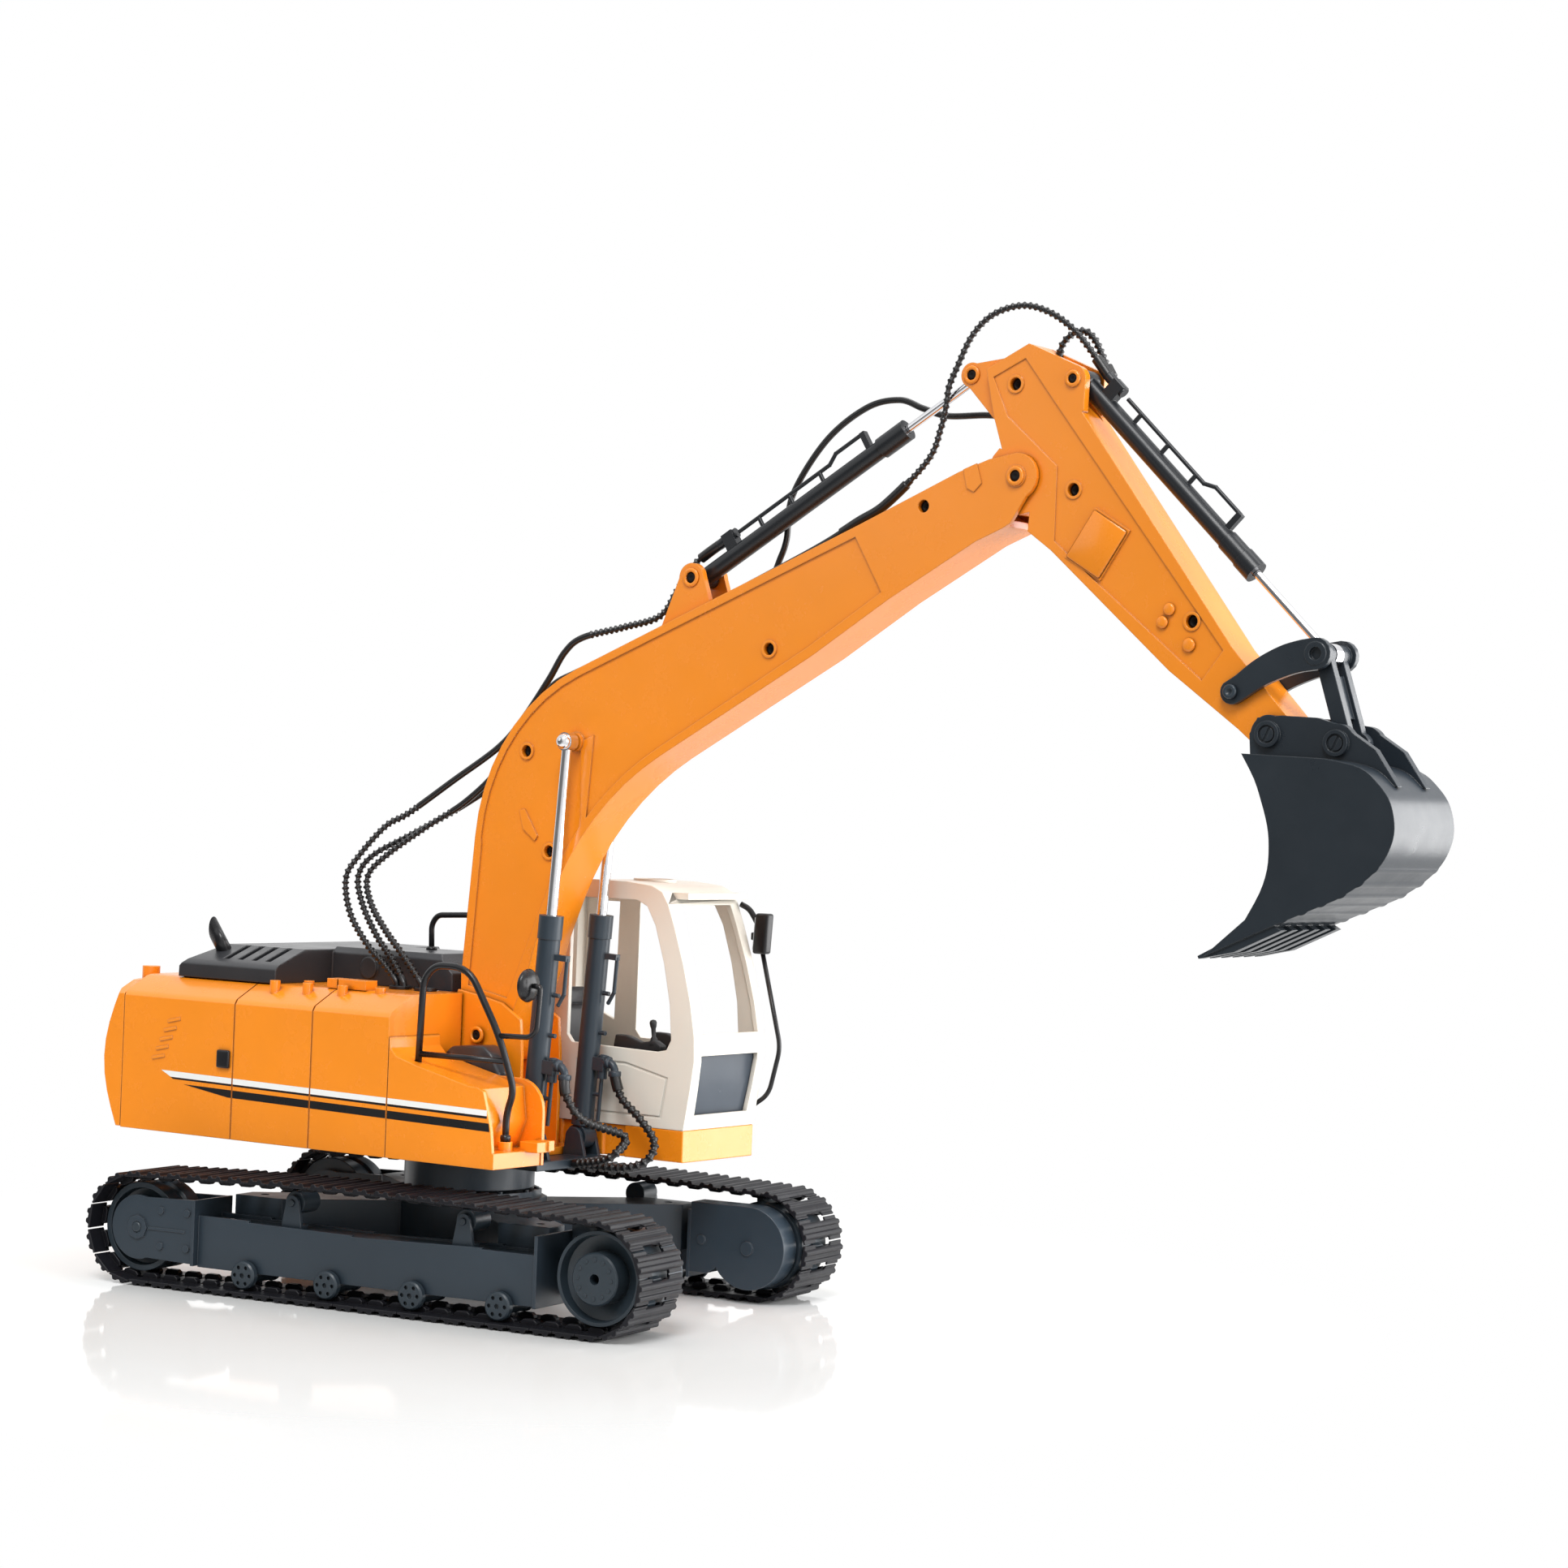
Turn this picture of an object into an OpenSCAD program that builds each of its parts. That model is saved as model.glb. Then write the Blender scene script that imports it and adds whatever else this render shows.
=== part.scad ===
// Crawler excavator model, about 1:16: two-piece arm, swivelling house, linked track shoes.
// Millimetres. +Z up, +X towards the boom, +Y to the cab side. The sub-parts are drawn round the slew axis;
// placed() then puts the origin on the floor at the middle of the whole outline.

/* [Undercarriage] */
// angle of the tracks seen from above, relative to the house
track_turn = 6.2; // [0:0.1:10]
// distance between the front and rear wheel axles
wheelbase = 243.5; // [243:0.5:246]
// width over both tracks
track_span = 185; // [184:0.5:188]
// width of one track shoe
shoe_width = 36; // [35:0.5:36.5]
// number of shoes in one track
shoe_count = 56; // [54:1:56]
// rise of the upper run over the carrier rollers
top_rise = 2.6; // [2.4:0.1:3.2]
// radius of the drive wheel and idler rims
rim_radius = 20.2; // [19.5:0.1:20.3]
// radius of the bottom roller caps
roller_cap_radius = 6.4; // [6:0.1:6.5]

/* [House] */
// width of the house
house_width = 148; // [147:0.5:149]
// height of the underside of the house
house_floor = 66.5; // [66:0.1:67]
// height of the top deck
deck_height = 138; // [137:0.5:139]
// radius of the tail seen from above
tail_radius = 110; // [108:1:130]

/* [Cab] */
// top of the cab roof
roof_height = 191.5; // [191:0.5:193]
// thickness of the cab wall
cab_wall = 2.4; // [2.2:0.1:2.8]

/* [Front end] */
// width of the boom
boom_width = 25; // [24.8:0.1:25]
// width of the stick
stick_width = 19.8; // [19.4:0.1:20]
// width of the bucket
bucket_width = 56; // [54:1:60]
// radius of the boom cylinder barrels
boom_barrel_radius = 5; // [4.6:0.1:5.2]
// radius of the hinge pins
pin_radius = 2; // [1.9:0.05:2.05]
// radius of the rail tube on the right front step
rail_radius = 1.5; // [1.2:0.1:1.6]
// radius of the sunk screw holes in the boom and the stick
screw_hole = 2.7; // [2:0.1:3]
// radius of the flat ring round each screw hole
screw_ring = 3.9; // [3.3:0.1:4.2]

/* [View] */
// sub-part to show

/* [Hidden] */
$fn = 48;
// running clearance on every shaft and hinge pin
fit = 0.06;
half = house_width / 2;
// boom plane, boom side face and cylinder planes
yb = -8.3;
boom_near = yb - boom_width / 2;
boom_far = yb + boom_width / 2;
cyl_out = boom_width / 2 + 5.9;
// track loop: hub height, inner face of the shoes, pitch of one shoe
hub_z = 25.7;
shoe_in = 23.1;
shoe_thick = 1.2;
grouser = 1.4;
loop_length = 2 * wheelbase + 2 * PI * shoe_in;
pitch = loop_length / shoe_count;
arc_length = PI * shoe_in;
wb2 = wheelbase / 2;
y_out = track_span / 2;
y_mid = y_out - shoe_width / 2;
// roller positions along the track
roller_x = [-61.5, -16.5, 28.5, 73.5];
roller_z = 9.4;
carrier_x = [-41, 50];
carrier_z = 43.1;
// hinge axes in the boom plane, as x and z
boom_pivot = [21.5, 119.7];
boom_pin = [68.3, 253.2];
foot_pin = [56, 75];
stick_pivot = [290.2, 367];
ear_pin = [126, 326.5];
lug_pin = [263.5, 410.2];
horn_pin = [313.8, 406.4];
rocker_pin = [392, 280];
cross_pin = [427.5, 295.3];
bucket_pin = [409.5, 263.6];
link_pin = [438.7, 260.7];

// distance from the slew axis forward to the middle of the whole outline
outline_mid = 140;

// ---------- shared shapes ----------

// moves a finished sub-part from the slew axis to the origin of the whole machine
module placed() {
  translate([-outline_mid, 0, 0])
    children();
}

// flat outline in the x-z plane, thickened from y0 to y1
module slab(y0, y1) {
  translate([0, y1, 0])
    rotate([90, 0, 0])
      linear_extrude(y1 - y0)
        children();
}

// round bar along y, centred on an x-z point
module pin(p, y0, y1, r) {
  slab(y0, y1)
    translate(p)
      circle(r);
}

// straight round bar between two points
module bar(a, b, r) {
  d = b - a;
  len = norm(d);
  translate(a)
    rotate([0, acos(d[2] / len), atan2(d[1], d[0])])
      cylinder(h = len, r = r, $fn = 20);
}

// bent tube with round corners
module tube(path, r) {
  for (i = [0:len(path) - 2])
    bar(path[i], path[i + 1], r);
  for (i = [1:len(path) - 2])
    translate(path[i])
      sphere(r + 0.08, $fn = 20);
}

// points along an arc in the x-z plane
function arc(c, r, a0, a1, n) = [
  for (i = [0:n]) c + r * [cos(a0 + (a1 - a0) * i / n), sin(a0 + (a1 - a0) * i / n)]];

// undercarriage pieces stand in the turned track frame
module tracks_turned() {
  rotate([0, 0, track_turn])
    children();
}

// side = 1 draws the right-hand piece, side = -1 the mirrored left-hand one
module on_side(side) {
  tracks_turned()
    scale([1, side, 1])
      children();
}

// solid of revolution about y, profile given as radius and distance out from the centre line
module spun(x, z) {
  translate([x, 0, z])
    rotate([90, 0, 0])
      rotate_extrude($fn = 64)
        children();
}

// ---------- undercarriage ----------

module undercarriage_frame() {
  arm = [[14, 26], [58, 64.8], [84, 64.8], [84, 52], [36, 12]];
  color("slategray")
    tracks_turned()
      difference() {
        union() {
          translate([0, 0, 19])
            cylinder(h = 23, r = 34, $fn = 64);
          translate([0, 0, 21])
            linear_extrude(21)
              for (sx = [-1, 1], sy = [-1, 1])
                scale([sx, sy])
                  polygon(arm);
          translate([-36, -24, 17])
            cube([72, 48, 6]);
        }
        translate([0, 0, 30])
          cylinder(h = 20, r = 8 + fit);
        for (sx = [-1, 1], sy = [-1, 1])
          translate([sx * 74, sy * 56, 38.5])
            cylinder(h = 5, r = 2);
      }
}

// twelve-sided flange with bolt heads that carries the slewing house
module slew_flange() {
  color("slategray")
    tracks_turned()
      difference() {
        union() {
          translate([0, 0, 42])
            cylinder(h = 2.4, r = 36, $fn = 12);
          translate([0, 0, 44.4])
            cylinder(h = 3.3, r = 33.5, $fn = 12);
          for (i = [0:11])
            rotate([0, 0, i * 30])
              translate([31, 0, 47.3])
                cylinder(h = 1.2, r = 1.2, $fn = 16);
        }
        translate([0, 0, 41])
          cylinder(h = 8, r = 8 + fit);
      }
}

// box beam of one track: two side walls, a stepped top and an end flange at each end
module track_frame(side) {
  x0 = -89.6;
  x1 = 90.2;
  wall = [[x0, 10.2], [x1, 10.2], [x1, 32.4], [62, 32.4], [62, 33.1], [-6, 31.4], [-6, 32],
    [-62, 32.6], [-62, 33.4], [x0, 33.4]];
  color("slategray")
    on_side(side)
      difference() {
        union() {
          for (y = [-84, -67])
            slab(y, y + 2)
              union() {
                polygon(wall);
                for (x = roller_x)
                  translate([x, roller_z])
                    circle(4.4);
              }
          translate([x0, -83, 29.4])
            cube([x1 - x0, 17, 2]);
          translate([x0 - 1.6, -87.5, 10.8])
            cube([1.6, 28, 29.6]);
          translate([x1, -86.5, 9.9])
            cube([1.6, 40.2, 31.1]);
          for (x = [x0, x1 - 2])
            translate([x, -83, 12])
              cube([2, 17, 18]);
          for (x = [-70, 40])
            translate([x, -67, 22])
              cube([18, 2.2, 10]);
        }
        for (x = roller_x)
          pin([x, roller_z], -90, -60, 1.5 + fit);
      }
}

// fork cheeks on both sides of each idler; the outer ones show screws and the adjuster slot
module idler_guards() {
  cheek = [[-91.2, 11.5], [-91.2, 40.3], [-118, 39.6], [-118, 12.2]];
  color("slategray")
    for (side = [1, -1])
      on_side(side)
        for (y = [-87, -62])
          difference() {
            union() {
              slab(y, y + 2)
                union() {
                  polygon(cheek);
                  translate([-wb2, hub_z])
                    circle(14.6);
                }
              if (y < -80) {
                slab(y - 0.9, y)
                  translate([-wb2, hub_z])
                    circle(5.6, $fn = 8);
                for (x = [-108.6, -93.8], z = [18.1, 34.2])
                  pin([x, z], y - 0.8, y, 1.7);
                translate([-115.8, y - 0.5, hub_z - 0.6])
                  cube([21, 0.5, 1.2]);
              }
            }
            pin([-wb2, hub_z], y - 3, y + 4, 2.5 + fit);
          }
}

// gearbox housings inboard of the drive wheels
module final_drives() {
  cover = [[91.8, 12.5], [101, 12.5], [105, 15], [122, 44.7], [91.8, 44.7]];
  color("slategray")
    for (side = [1, -1])
      on_side(side)
        difference() {
          union() {
            slab(-58.6, -46.3)
              union() {
                polygon(cover);
                translate([wb2, hub_z])
                  circle(19);
              }
            pin([wb2, hub_z], -46.3, -45.3, 3.2);
            pin([wb2 - 24, hub_z + 2], -46.3, -45.5, 2.2);
          }
          pin([wb2, hub_z], -60, -49.5, 3 + fit);
        }
}

// one shoe: plate with two grousers, a window between them and two chain lugs underneath
module shoe() {
  tread = [[-5.2, 0], [5.2, 0], [5.2, 1.2], [4.4, 1.2], [3.8, 2.6], [2.6, 2.6], [2.1, 1.2],
    [-2.1, 1.2], [-2.6, 2.6], [-3.8, 2.6], [-4.4, 1.2], [-5.2, 1.2]];
  difference() {
    slab(-shoe_width / 2, shoe_width / 2)
      polygon(tread);
    translate([-1.7, -6.5, -1])
      cube([3.4, 13, 5]);
  }
  for (y = [-9.5, 6.5])
    translate([-4, y, -2.3])
      cube([8, 3, 2.4]);
}

// place of a point s along the loop: x, z and the tilt of the outward direction
function on_loop(s) =
  s < wheelbase ? [s - wb2, hub_z - shoe_in, 180]
  : s < wheelbase + arc_length ?
    let (a = (s - wheelbase) / shoe_in * 180 / PI - 90)
      [wb2 + shoe_in * cos(a), hub_z + shoe_in * sin(a), 90 - a]
  : s < 2 * wheelbase + arc_length ?
    let (u = wb2 - (s - wheelbase - arc_length))
      [u, hub_z + shoe_in + top_rise * (1 - pow(u / wb2, 2)), atan(2 * top_rise * u / pow(wb2, 2))]
  : let (a = (s - 2 * wheelbase - arc_length) / shoe_in * 180 / PI + 90)
      [-wb2 + shoe_in * cos(a), hub_z + shoe_in * sin(a), 90 - a];

module track_shoes(side) {
  color("dimgray")
    on_side(side)
      for (i = [0:shoe_count - 1]) {
        p = on_loop((i + 0.5) * pitch);
        translate([p[0], -y_mid, p[1]])
          rotate([0, p[2], 0])
            shoe();
      }
}

// upright lugs that hold the carrier rollers
module carrier_brackets() {
  color("slategray")
    for (side = [1, -1])
      on_side(side)
        for (x = carrier_x)
          difference() {
            union() {
              slab(-80.8, -78.8)
                union() {
                  translate([x, carrier_z])
                    circle(3.4);
                  polygon([[x - 5.2, 33.4], [x + 5.2, 33.4], [x + 3.3, carrier_z], [x - 3.3, carrier_z]]);
                }
              translate([x - 5.2, -80.8, 31.4])
                cube([10.4, 6, 2]);
            }
            pin([x, carrier_z], -82, -78, 1.5 + fit);
          }
}

module idler(side) {
  rim = rim_radius;
  color("dimgray")
    on_side(side)
      spun(-wb2, hub_z)
        polygon([[0, 59], [2.5, 59], [2.5, 63.5], [rim, 63.5], [rim, 71.5], [rim - 1.4, 72.5],
          [rim - 1.4, 75.5], [rim, 76.5], [rim, 84], [rim - 2.6, 84], [rim - 3, 80], [7, 78], [7, 84],
          [2.5, 84], [2.5, 88], [1.9, 88.6], [0, 88.6]]);
}

// dished rim with a bolted hub disc and a ring of sprocket teeth
module drive_wheel(side) {
  rim = rim_radius;
  teeth = 13;
  color("slategray")
    on_side(side) {
      difference() {
        union() {
          spun(wb2, hub_z)
            polygon([[0, 50], [3, 50], [3, 61], [rim - 1, 61], [rim, 62], [rim, 85.4],
              [rim - 1.5, 85.4], [rim - 2.2, 80.5], [11.3, 78], [11.3, 87.6], [10.6, 88.4], [0, 88.4]]);
          slab(-78, -71)
            translate([wb2, hub_z])
              for (i = [0:teeth - 1])
                rotate(i * 360 / teeth)
                  polygon([[18, -2.6], [22.6, -1.1], [22.6, 1.1], [18, 2.6]]);
          for (i = [0:11])
            pin([wb2 + 8.3 * cos(i * 30), hub_z + 8.3 * sin(i * 30)], -88.8, -88, 0.8);
        }
        pin([wb2, hub_z], -90, -80, 2.3);
      }
    }
}

// bottom roller: outer cap with six holes, inner body on one shaft
module track_roller(side, i) {
  c = [roller_x[i], roller_z];
  color("dimgray")
    on_side(side)
      difference() {
        spun(c[0], c[1])
          polygon([[0, 64], [1.5, 64], [1.5, 67.4], [4, 67.4], [4, 81.6], [1.5, 81.6], [1.5, 85.1],
            [roller_cap_radius, 85.1], [roller_cap_radius, 87.6], [roller_cap_radius - 0.8, 88.4],
            [0, 88.4]]);
        for (k = [0:5])
          pin(c + 4 * [cos(k * 60), sin(k * 60)], -90, -86.9, 0.85);
        pin(c, -90, -87.2, 1.1);
      }
}

module carrier_roller(side, i) {
  color("dimgray")
    on_side(side)
      spun(carrier_x[i], carrier_z)
        polygon([[0, 66], [5.1, 66], [5.1, 78.4], [1.5, 78.4], [1.5, 81.6], [0, 81.6]]);
}

// ---------- house ----------

// section of the rear part of the hood, seen from behind
hood_section = [[-60, deck_height], [-60, 144.4], [-58, 146.4], [-40, 153.4], [56, 153.4], [60, 148],
  [60, deck_height]];

// floor plate, slew ring and the two upright cheeks that hold the boom foot
module turntable_deck() {
  cheek = [[-3, house_floor], [-3, 122], [5.5, 129], [8, 139.5], [22.5, 137.2], [33.5, 134.8],
    [44.5, 128], [46, 112], [46, house_floor]];
  plan = [[-150, -half + 2], [11.5, -half + 2], [11.5, -39.3], [50, -39.3], [50, 18], [0, 20],
    [0, half - 2], [-150, half - 2]];
  color("darkorange")
    difference() {
      union() {
        translate([0, 0, house_floor])
          linear_extrude(3.5)
            polygon(plan);
        translate([0, 0, 48.8])
          cylinder(h = house_floor - 48.8, r = 30, $fn = 16);
        translate([0, 0, 32])
          cylinder(h = 20, r = 8);
        for (y = [boom_near - 2.4, boom_far + 0.4])
          slab(y, y + 2)
            polygon(cheek);
        pin(boom_pivot, boom_near - 1, boom_far + 1, 2.5);
        translate([-12, -23.8, house_floor])
          cube([3, 42.8, 66]);
      }
      pin(boom_pivot, boom_near - 4, boom_near - 1, 2.2);
      pin(boom_pivot, boom_far + 1, boom_far + 4, 2.2);
    }
}

// lugs at the front edge of the floor that carry the two boom cylinders
module cylinder_foot_bracket() {
  color("slategray") {
    translate([44, yb - 26, house_floor - 4])
      cube([22, 52, 4]);
    for (side = [-1, 1])
      for (off = [-6.2, 4.2])
        difference() {
          slab(yb + side * cyl_out + off, yb + side * cyl_out + off + 2)
            union() {
              translate(foot_pin)
                circle(4.4);
              polygon([[50, house_floor - 4], [64, house_floor - 4], [60.2, 76], [51.8, 76]]);
            }
        }
    for (side = [-1, 1])
      pin(foot_pin, yb + side * cyl_out - 6.2, yb + side * cyl_out + 6.2, pin_radius);
  }
}

// section of the side panels across the machine, from the outer wall up to the deck
function panel_section(w) = [[-half, house_floor], [-half, 128.4], [-half + 1.4, 130.6],
  [-60, deck_height - 0.8], [-56, deck_height], [w, deck_height], [w, house_floor + 3.5],
  [-half + 2, house_floor + 3.5], [-half + 2, house_floor]];

module along_x(x0, x1) {
  translate([x0, 0, 0])
    rotate([90, 0, 90])
      linear_extrude(x1 - x0)
        children();
}

// shallow upright seam across the side wall and the deck
module seam(x) {
  along_x(x - 0.45, x + 0.45)
    polygon([[-half - 1, house_floor - 1], [-half + 0.6, house_floor - 1], [-half + 0.6, 128],
      [-59.5, deck_height - 1.4], [-54, deck_height - 0.6], [-38, deck_height - 0.6], [-38, 150],
      [-half - 1, 150]]);
}

module right_body_panel() {
  color("darkorange")
    difference() {
      union() {
        along_x(-150.8, -12)
          polygon(panel_section(-0.2));
        along_x(-12, 11.5)
          polygon(panel_section(-24));
        for (i = [0:4])
          translate([-131.5 + i * 2.3, -half - 0.5, 99.5 + i * 4.4])
            rotate([0, -12, 0])
              cube([8, 1, 1.4]);
        translate([-88.8, -half - 0.7, 99.4])
          cube([5.8, 1, 7.4]);
        translate([-40, -58, deck_height])
          cube([23, 8, 4.4]);
        for (p = [[-66, -64], [-47, -63], [-27, -62], [-8, -58], [-58, -50]])
          translate([p[0], p[1], deck_height - 4])
            cylinder(h = 6, r = 2.4, $fn = 20);
      }
      for (x = [-81, -33.7])
        seam(x);
      translate([-147.8, -half + 3, house_floor + 3.5])
        cube([133, 70.5, 60]);
      translate([-16, -half + 3, house_floor + 3.5])
        cube([24.5, 44.6, 60]);
    }
}

module left_body_panel() {
  color("darkorange")
    difference() {
      scale([1, -1, 1])
        along_x(-150.8, 1)
          polygon(panel_section(0));
      scale([1, -1, 1])
        seam(-75);
      translate([-147.8, 3, house_floor + 3.5])
        cube([145.8, half - 6, 60]);
      translate([-12, -1, house_floor + 3])
        cube([20, 20.8, 80]);
    }
}

// tail: rounded seen from above and barrel-shaped from the side
module counterweight() {
  cx = sqrt(pow(tail_radius, 2) - pow(half, 2)) - 151.2;
  base = house_floor + 0.4;
  bulge = [for (i = [0:8]) [tail_radius + 2 + 7 * sin(i * 22.5), base + i * 8]];
  color("darkorange") {
    difference() {
      intersection() {
        translate([cx, 0, 0])
          rotate_extrude($fn = 128)
            polygon(concat([[60, base]], bulge, [[tail_radius - 3, base + 68], [60, base + 71]]));
        translate([-210, -half, base])
          cube([58.8, 2 * half, 80]);
      }
      for (side = [-1, 1])
        along_x(-210, -150)
          polygon([[side * (half + 1), 128.4], [side * 60, deck_height - 0.8], [side * 60, 160],
            [side * (half + 1), 160]]);
    }
    for (y = [-48, 36])
      translate([-160, y, base + 66])
        cylinder(h = 8, r = 4.2);
  }
}

// black hood: sloping rear part with cooling slots and a narrower front part behind the boom
module engine_hood() {
  front = [[-21, deck_height], [-21, 152], [-18, 154.6], [18.5, 154.6], [18.5, deck_height]];
  color("dimgray")
    difference() {
      union() {
        intersection() {
          along_x(-131, -70)
            polygon(hood_section);
          slab(-70, 70)
            polygon([[-131, 130], [-69, 130], [-69, 160], [-112, 160], [-130.5, 143]]);
        }
        intersection() {
          along_x(-70.5, 3)
            polygon(front);
          slab(-70, 70)
            polygon([[-70.5, 130], [3, 130], [2.5, 146], [-7.4, 155.6], [-12, 160], [-70.5, 160]]);
        }
        pin([-47, 146], -22.4, -20, 5);
      }
      for (i = [0:3])
        translate([-107 + i * 8.6, -55, 144])
          cube([3.4, 16, 14]);
      translate([-126, -56, 130])
        cube([53, 110, 12]);
      translate([-66, -18.5, 130])
        cube([64, 34, 20]);
    }
}

// slanted cut-off exhaust stub, its foot shaped to the slope of the hood
module exhaust() {
  color("black")
    difference() {
      translate([-114, -45, 148])
        rotate([0, -38, 0])
          difference() {
            cylinder(h = 20, r = 3.4);
            translate([0, 0, 10])
              cylinder(h = 20, r = 2.4);
            translate([-5, -5, 19])
              rotate([0, 22, 0])
                cube([14, 10, 10]);
          }
      along_x(-135, -90)
        polygon(hood_section);
    }
}

// sloped fender in front of the right panel, with an inner rounded wall, a step and a towing lug
module front_fender_right() {
  y1 = -39.3;
  body = [[11.9, house_floor], [60, house_floor], [60, 74], [64.5, 86], [62.5, 100.6], [28, 108.3],
    [16, 111.6], [12.6, 115], [11.9, 120]];
  skin = [[60, house_floor], [73, house_floor], [70.8, 84], [66, 100], [62.5, 101.4], [58, 101.6]];
  inner = concat([[12, house_floor], [73.5, house_floor]], arc([59.5, 90], 14, 0, 90, 6), [[30, 104],
    [14, 112], [12, 112]]);
  color("darkorange")
    difference() {
      union() {
        slab(-half, y1)
          polygon(body);
        slab(-half, -half + 2)
          polygon(skin);
        slab(y1 - 2, y1)
          polygon(inner);
        translate([58, -half, house_floor])
          cube([15, half + y1, 7]);
        translate([67, -58.5, 72])
          cylinder(h = 5.5, r = 3.2);
        translate([70, -52, 73])
          cube([9.6, 10, 4.5]);
        translate([74, -45, 73.5])
          cube([6.6, 4, 4.5]);
      }
      translate([15, -half + 3, house_floor - 1])
        cube([42, half + y1 - 8, 35]);
      translate([23, -67, 100])
        cylinder(h = 20, r = rail_radius + fit);
      translate([67, -58.5, 74.5])
        cylinder(h = 10, r = rail_radius + fit);
    }
}

// orange box under the cab with upright ribs
module cab_base() {
  y0 = 18.8;
  color("darkorange")
    difference() {
      union() {
        translate([1.2, y0 + 1.3, house_floor])
          cube([105.4, half - y0 - 1.3, 14.4]);
        translate([74, y0, house_floor])
          cube([32.6, 2, 14.4]);
        for (x = [88, 60, 36])
          translate([x, y0, house_floor])
            cube([2, 2, 14.4]);
      }
      translate([6, y0 + 6, house_floor - 1])
        cube([94, half - y0 - 10, 10]);
    }
}

// outline of the cab seen from the side, and the same outline moved in by the wall
cab_side = [[5, 80.9], [106.5, 80.9], [109.6, 100], [111.2, 112], [110.7, 123.3], [108, 138],
  [103.4, 155], [97.6, 172], [93.6, 182], [90, 187.4], [84, 190], [70, 191.3], [50, 191.5], [22, 190],
  [9, 187], [5, 182]];
cab_inside = [[7.4, 83.4], [104.4, 83.4], [107.2, 100], [108.7, 112], [108.2, 123], [105.6, 137.4],
  [101, 154.2], [95.2, 171.4], [91.4, 180.6], [88.2, 185.2], [83, 187.5], [70, 188.8], [50, 189],
  [22.4, 187.6], [10.4, 185], [7.4, 181.4]];
side_window = [[42, 116.5], [90, 115.2], [95.6, 116.4], [98, 121], [96.6, 137], [92.6, 155], [87, 172],
  [82, 180.5], [76, 183.2], [42, 183.2], [39, 180], [39, 120]];

module cab_shell() {
  y0 = 18.8;
  top = roof_height - 191.5;
  color("ivory")
    difference() {
      union() {
        slab(y0, half)
          polygon(cab_side);
        translate([88, 27, 184.2])
          cube([10.8, half - 28, 3]);
        translate([66, 46, 190])
          cylinder(h = 2.4 + top, r = 10);
      }
      slab(y0 + cab_wall, half - cab_wall)
        polygon(cab_inside);
      slab(y0 - 1, half + 1)
        polygon(side_window);
      slab(y0 - 1, half + 1)
        polygon([[12, 130], [26, 124], [27, 180], [14, 180]]);
      along_x(80, 130)
        polygon([[25, 124], [69.5, 124], [67.5, 181.5], [28, 181.5]]);
      along_x(80, 130)
        polygon([[25.5, 87.5], [67, 87.5], [69, 114.5], [24.5, 114.5]]);
      along_x(0, 12)
        polygon([[28, 128], [65, 128], [65, 178], [28, 178]]);
      translate([66, 46, 191.7])
        cylinder(h = 3, r = 8.6);
      slab(y0 - 1, y0 + 0.5)
        difference() {
          polygon([[45, 85.5], [94, 85.5], [97, 104], [73, 109.4], [45, 109.4]]);
          polygon([[46, 86.5], [93, 86.5], [95.8, 103.2], [73, 108.3], [46, 108.3]]);
        }
    }
}

// grey pane of the lower front window, set against the inside of the cab front
module cab_lower_window() {
  color("gray")
    slab(22.5, 70.5)
      polygon([[103.3, 86], [104.8, 86], [107.2, 100], [108.7, 112], [108.5, 116], [107, 116],
        [107.1, 112], [105.6, 100]]);
}

// floor mat with the seat and the joystick console
module cab_controls() {
  color("black") {
    translate([16, 30, 83.4])
      cube([66, 36, 1.2]);
    translate([22, 32, 83.4])
      cube([34, 32, 16]);
    translate([18, 34, 99.4])
      cube([8, 28, 34]);
    slab(31, 35)
      polygon([[56, 110], [58, 121], [72, 117.6], [82, 119.5], [84, 115.4], [74, 113], [66, 112]]);
    bar([70, 33, 83.4], [70, 33, 114], 2);
    bar([78, 33, 116], [77, 33, 125.5], 1.2);
  }
}

// tubular rail on the right front step with its round mirror
module handrail_right() {
  color("black") {
    tube([[23, -67, 106], [24.4, -67, 146], [31, -67, 152.6], [49, -66, 152.4], [65, -63, 123.6],
      [72, -60, 100], [67, -58.5, 90], [67, -58.5, 74.8]], rail_radius);
    bar([24, -67, 113], [68.4, -61.6, 112.6], 1.35);
    tube([[65.4, -63, 123.7], [81, -62, 124], [84, -62, 127], [86, -62, 146]], 1.1);
    bar([86, -62, 146], [80, -62, 146.4], 1.3);
    translate([78, -62, 146.4])
      rotate([0, 90, 0])
        difference() {
          cylinder(h = 2.2, r = 7.2);
          translate([0, 0, -1])
            cylinder(h = 1.4, r = 6.3);
        }
  }
}

// second rail standing on the front part of the hood
module handrail_rear() {
  color("black")
    tube([[-34.5, 8, 154.6], [-35, 8, 166.5], [-31.5, 8, 171], [-12, 8, 172], [-8, 8, 167.5],
      [-7.5, 8, 154.6]], 1.3);
}

// cab mirror with its head on a short arm and the long bent guard rod
module mirror_left() {
  y = half + 2.4;
  color("black") {
    tube([[95, half, 181], [95, y, 181], [105.5, y, 171.5]], 1.1);
    translate([103.4, y - 1.6, 159.6])
      cube([6.6, 4.6, 18.4]);
    tube([[107, y, 163], [118.5, y, 117], [113, y, 95], [104.6, y, 89.4], [104.6, half, 89.4]], 1);
  }
}

// raised collars where the hoses leave the deck
module hose_grommets() {
  color("black")
    for (x = [-19.6, -4.6])
      difference() {
        translate([x, -31, deck_height])
          cylinder(h = 1.6, r = 5.2);
        for (off = [-2.2, 2.2])
          translate([x + off, -31, deck_height - 1])
            cylinder(h = 4, r = 1.9);
      }
}

// ---------- boom ----------

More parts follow.
